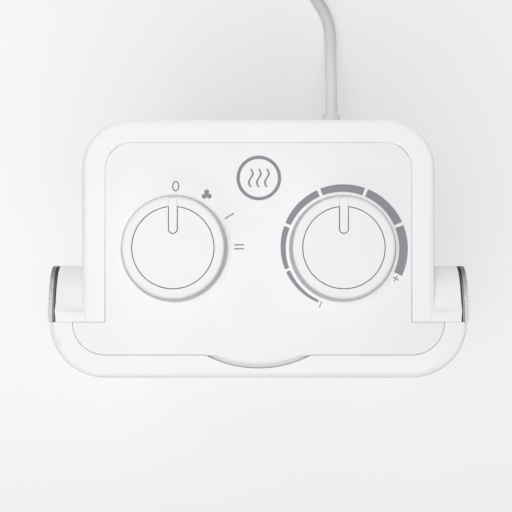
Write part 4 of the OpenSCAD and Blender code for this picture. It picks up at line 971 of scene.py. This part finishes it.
layers = layered_surface()
stack, stack_shader = material("stamped_sheets", Metallic=0.9, Roughness=0.45)
use(stack, stack_shader, layers, Colour=(0.30, 0.31, 0.33, 1), Gap=(0.09, 0.09, 0.10, 1),
    Layers=2000, Depth=0.00006)
for piece in ("motor_stator", "motor_rotor"):
    dress(piece, stack)
winding, winding_shader = material("varnished_wire", Metallic=0.4, Roughness=0.35)
use(winding, winding_shader, layers, Colour=(0.42, 0.17, 0.06, 1), Gap=(0.10, 0.035, 0.012, 1),
    Layers=2600, Axis=(1, 0, 0), Depth=0.00012)
dress("motor_coil", winding)
steel = metal("drawn_steel", (0.58, 0.585, 0.59), 0.28, lines=(5000, 60, 5000), drift=0.08)
for piece in ("motor_shaft", "motor_bearings", "thermostat_spindle"):
    dress(piece, steel)

# Mode switch and thermostat
# A rotary switch in ivory phenolic, and a thermostat with a steatite stack and a bimetal blade.
# Both hang under the deck on their bushes, with bare blade terminals.
dress("mode_switch_body", plastic("ivory_phenolic", (0.66, 0.60, 0.44), 0.4, drift=0.05, grain=1200))
dress("mode_switch_shaft", plastic("shaft_nylon", (0.70, 0.67, 0.58), 0.35, drift=0.03, grain=2000))
steatite, steatite_shader = material("steatite", Roughness=0.7)
use(steatite, steatite_shader, dust, Colour=(0.66, 0.63, 0.56, 1), Dust=(0.52, 0.49, 0.43, 1),
    Cover=0.6, Patch_Scale=900)
dress("thermostat_body", steatite)
dress("thermostat_bimetal", brass)

# Tip-over switch
# A black switch box on the base plate, its white plunger and the spring that pushes it down.
# The spring is hard-drawn steel wire, eight turns.
dress("tip_switch_body", phenolic)
dress("tip_plunger", fan_white)
dress("tip_spring", steel)

# Terminal block and wiring
# A nylon block for the cord's cores, and insulated leads to the switch and the motor.
# The insulation is blue silicone with a soft sheen.
dress("terminal_block", plastic("block_nylon", (0.74, 0.73, 0.69), 0.38, drift=0.04, grain=1500))
dress("wiring", plastic("blue_silicone", (0.025, 0.065, 0.25), 0.45, drift=0.06, grain=1800,
                        Sheen_Weight=0.2))


# Floor and light
# The heater stands on a plain near-white sheet that runs on out of sight. One lamp hangs over it,
# a wide soft one stands behind it, two weak ones stand in front of it, and a fifth lights the sheet.
def seen_directly(tree):
    """1 for rays from the eye, off mirrors and through glass, 0 for those that light the heater."""
    path = add(tree, "ShaderNodeLightPath").outputs
    mirrored = maths(tree, "ADD", path["Is Camera Ray"], path["Is Glossy Ray"], clamp=True)
    return maths(tree, "ADD", mirrored, path["Is Transmission Ray"], clamp=True)


sheet_reach = 6
sheet_z = -0.05 * mm
floor_bm = bmesh.new()
bmesh.ops.create_grid(floor_bm, x_segments=1, y_segments=1, size=sheet_reach)
floor = solid("floor", floor_bm, Matrix.Translation((0, 0, sheet_z)))
fade_from, fade_to = 0.35, 2.6
shade_from, shade_to = -0.16, 0.0
glow_front, glow_rear, glow_far = 0.315, 0.44, 0.84
sheet, sheet_shader = material("white_sheet", Emission_Color=(1, 0.997, 0.992, 1))
sheet_tree = sheet.node_tree
use(sheet, sheet_shader, skin, Roughness=0.8, Grain_Scale=700)
sheet_seen = seen_directly(sheet_tree)
sheet_at = where(sheet_tree)
sheet_away = add(sheet_tree, "ShaderNodeVectorMath", sheet_at, operation="LENGTH").outputs["Value"]
sheet_far = ranged(sheet_tree, sheet_away, fade_from, fade_to)
sheet_fade = mixed(sheet_tree, sheet_far, (0.461, 0.46, 0.458, 1), (0.01, 0.01, 0.01, 1))
sheet_colour = mixed(sheet_tree, sheet_seen, (0.86, 0.86, 0.858, 1), sheet_fade)
feed(sheet_tree, sheet_shader.inputs["Base Color"], sheet_colour)
# Near the heater its glow is weaker in front, as painted shade, and far away it is even.
sheet_y = part_of(sheet_tree, sheet_at, "Y")
front_shaded_glow = ranged(sheet_tree, sheet_y, shade_from, shade_to, glow_front, glow_rear)
sheet_white = ranged(sheet_tree, sheet_away, fade_from, fade_to, front_shaded_glow, glow_far)
feed(sheet_tree, sheet_shader.inputs["Emission Strength"],
     maths(sheet_tree, "MULTIPLY", sheet_seen, sheet_white))
bpy.context.scene.collection.objects.link(floor)
floor.data.materials.append(sheet)


def lamp(name, place, size, watts, lit="EXCLUDE", past=()):
    """A square area lamp aimed at the heater. It lights all but the sheet, or the sheet alone."""
    data = bpy.data.lights.new(name, "AREA")
    data.shape = "SQUARE"
    data.size = size
    data.energy = watts
    made = bpy.data.objects.new(name, data)
    made.location = place
    made.rotation_euler = (-Vector(place)).to_track_quat("-Z", "Y").to_euler()
    bpy.context.scene.collection.objects.link(made)
    receivers = bpy.data.collections.new(name + "_lights")
    receivers.objects.link(floor)
    receivers.collection_objects[0].light_linking.link_state = lit
    made.light_linking.receiver_collection = receivers
    if past:
        # These pieces cast no shadow in this lamp's light.
        blockers = bpy.data.collections.new(name + "_passes")
        for piece in past:
            blockers.objects.link(bpy.data.objects[piece])
        for member in blockers.collection_objects:
            member.light_linking.link_state = "EXCLUDE"
        made.light_linking.blocker_collection = blockers


lamp("top_lamp", (-0.15, 0.0, 2.4), size=0.8, watts=18.2)
lamp("rear_lamp", (-0.1, 1.5, 1.2), size=2.0, watts=13.5,
     past=("mode_knob_ring", "mode_knob_disc", "thermostat_knob_ring", "thermostat_knob_disc"))
lamp("front_lamp", (-0.5, -2.0, 0.2), size=1.4, watts=4)
lamp("left_lamp", (-0.5, -1.2, 1.6), size=0.8, watts=3.6)
lamp("sheet_lamp", (-0.38, -0.85, 2.0), size=3.0, watts=72, lit="INCLUDE")
light_level, backdrop_level = 0.22, 0.92
world = bpy.data.worlds.new("surround")
bpy.context.scene.world = world
world.use_nodes = True
world_tree = world.node_tree
surround = world_tree.nodes["Background"]
surround.inputs["Color"].default_value = (1, 1, 1, 1)
level = ranged(world_tree, seen_directly(world_tree), 0, 1, light_level, backdrop_level)
feed(world_tree, surround.inputs["Strength"], level)
bpy.context.scene.view_settings.view_transform = "Standard"
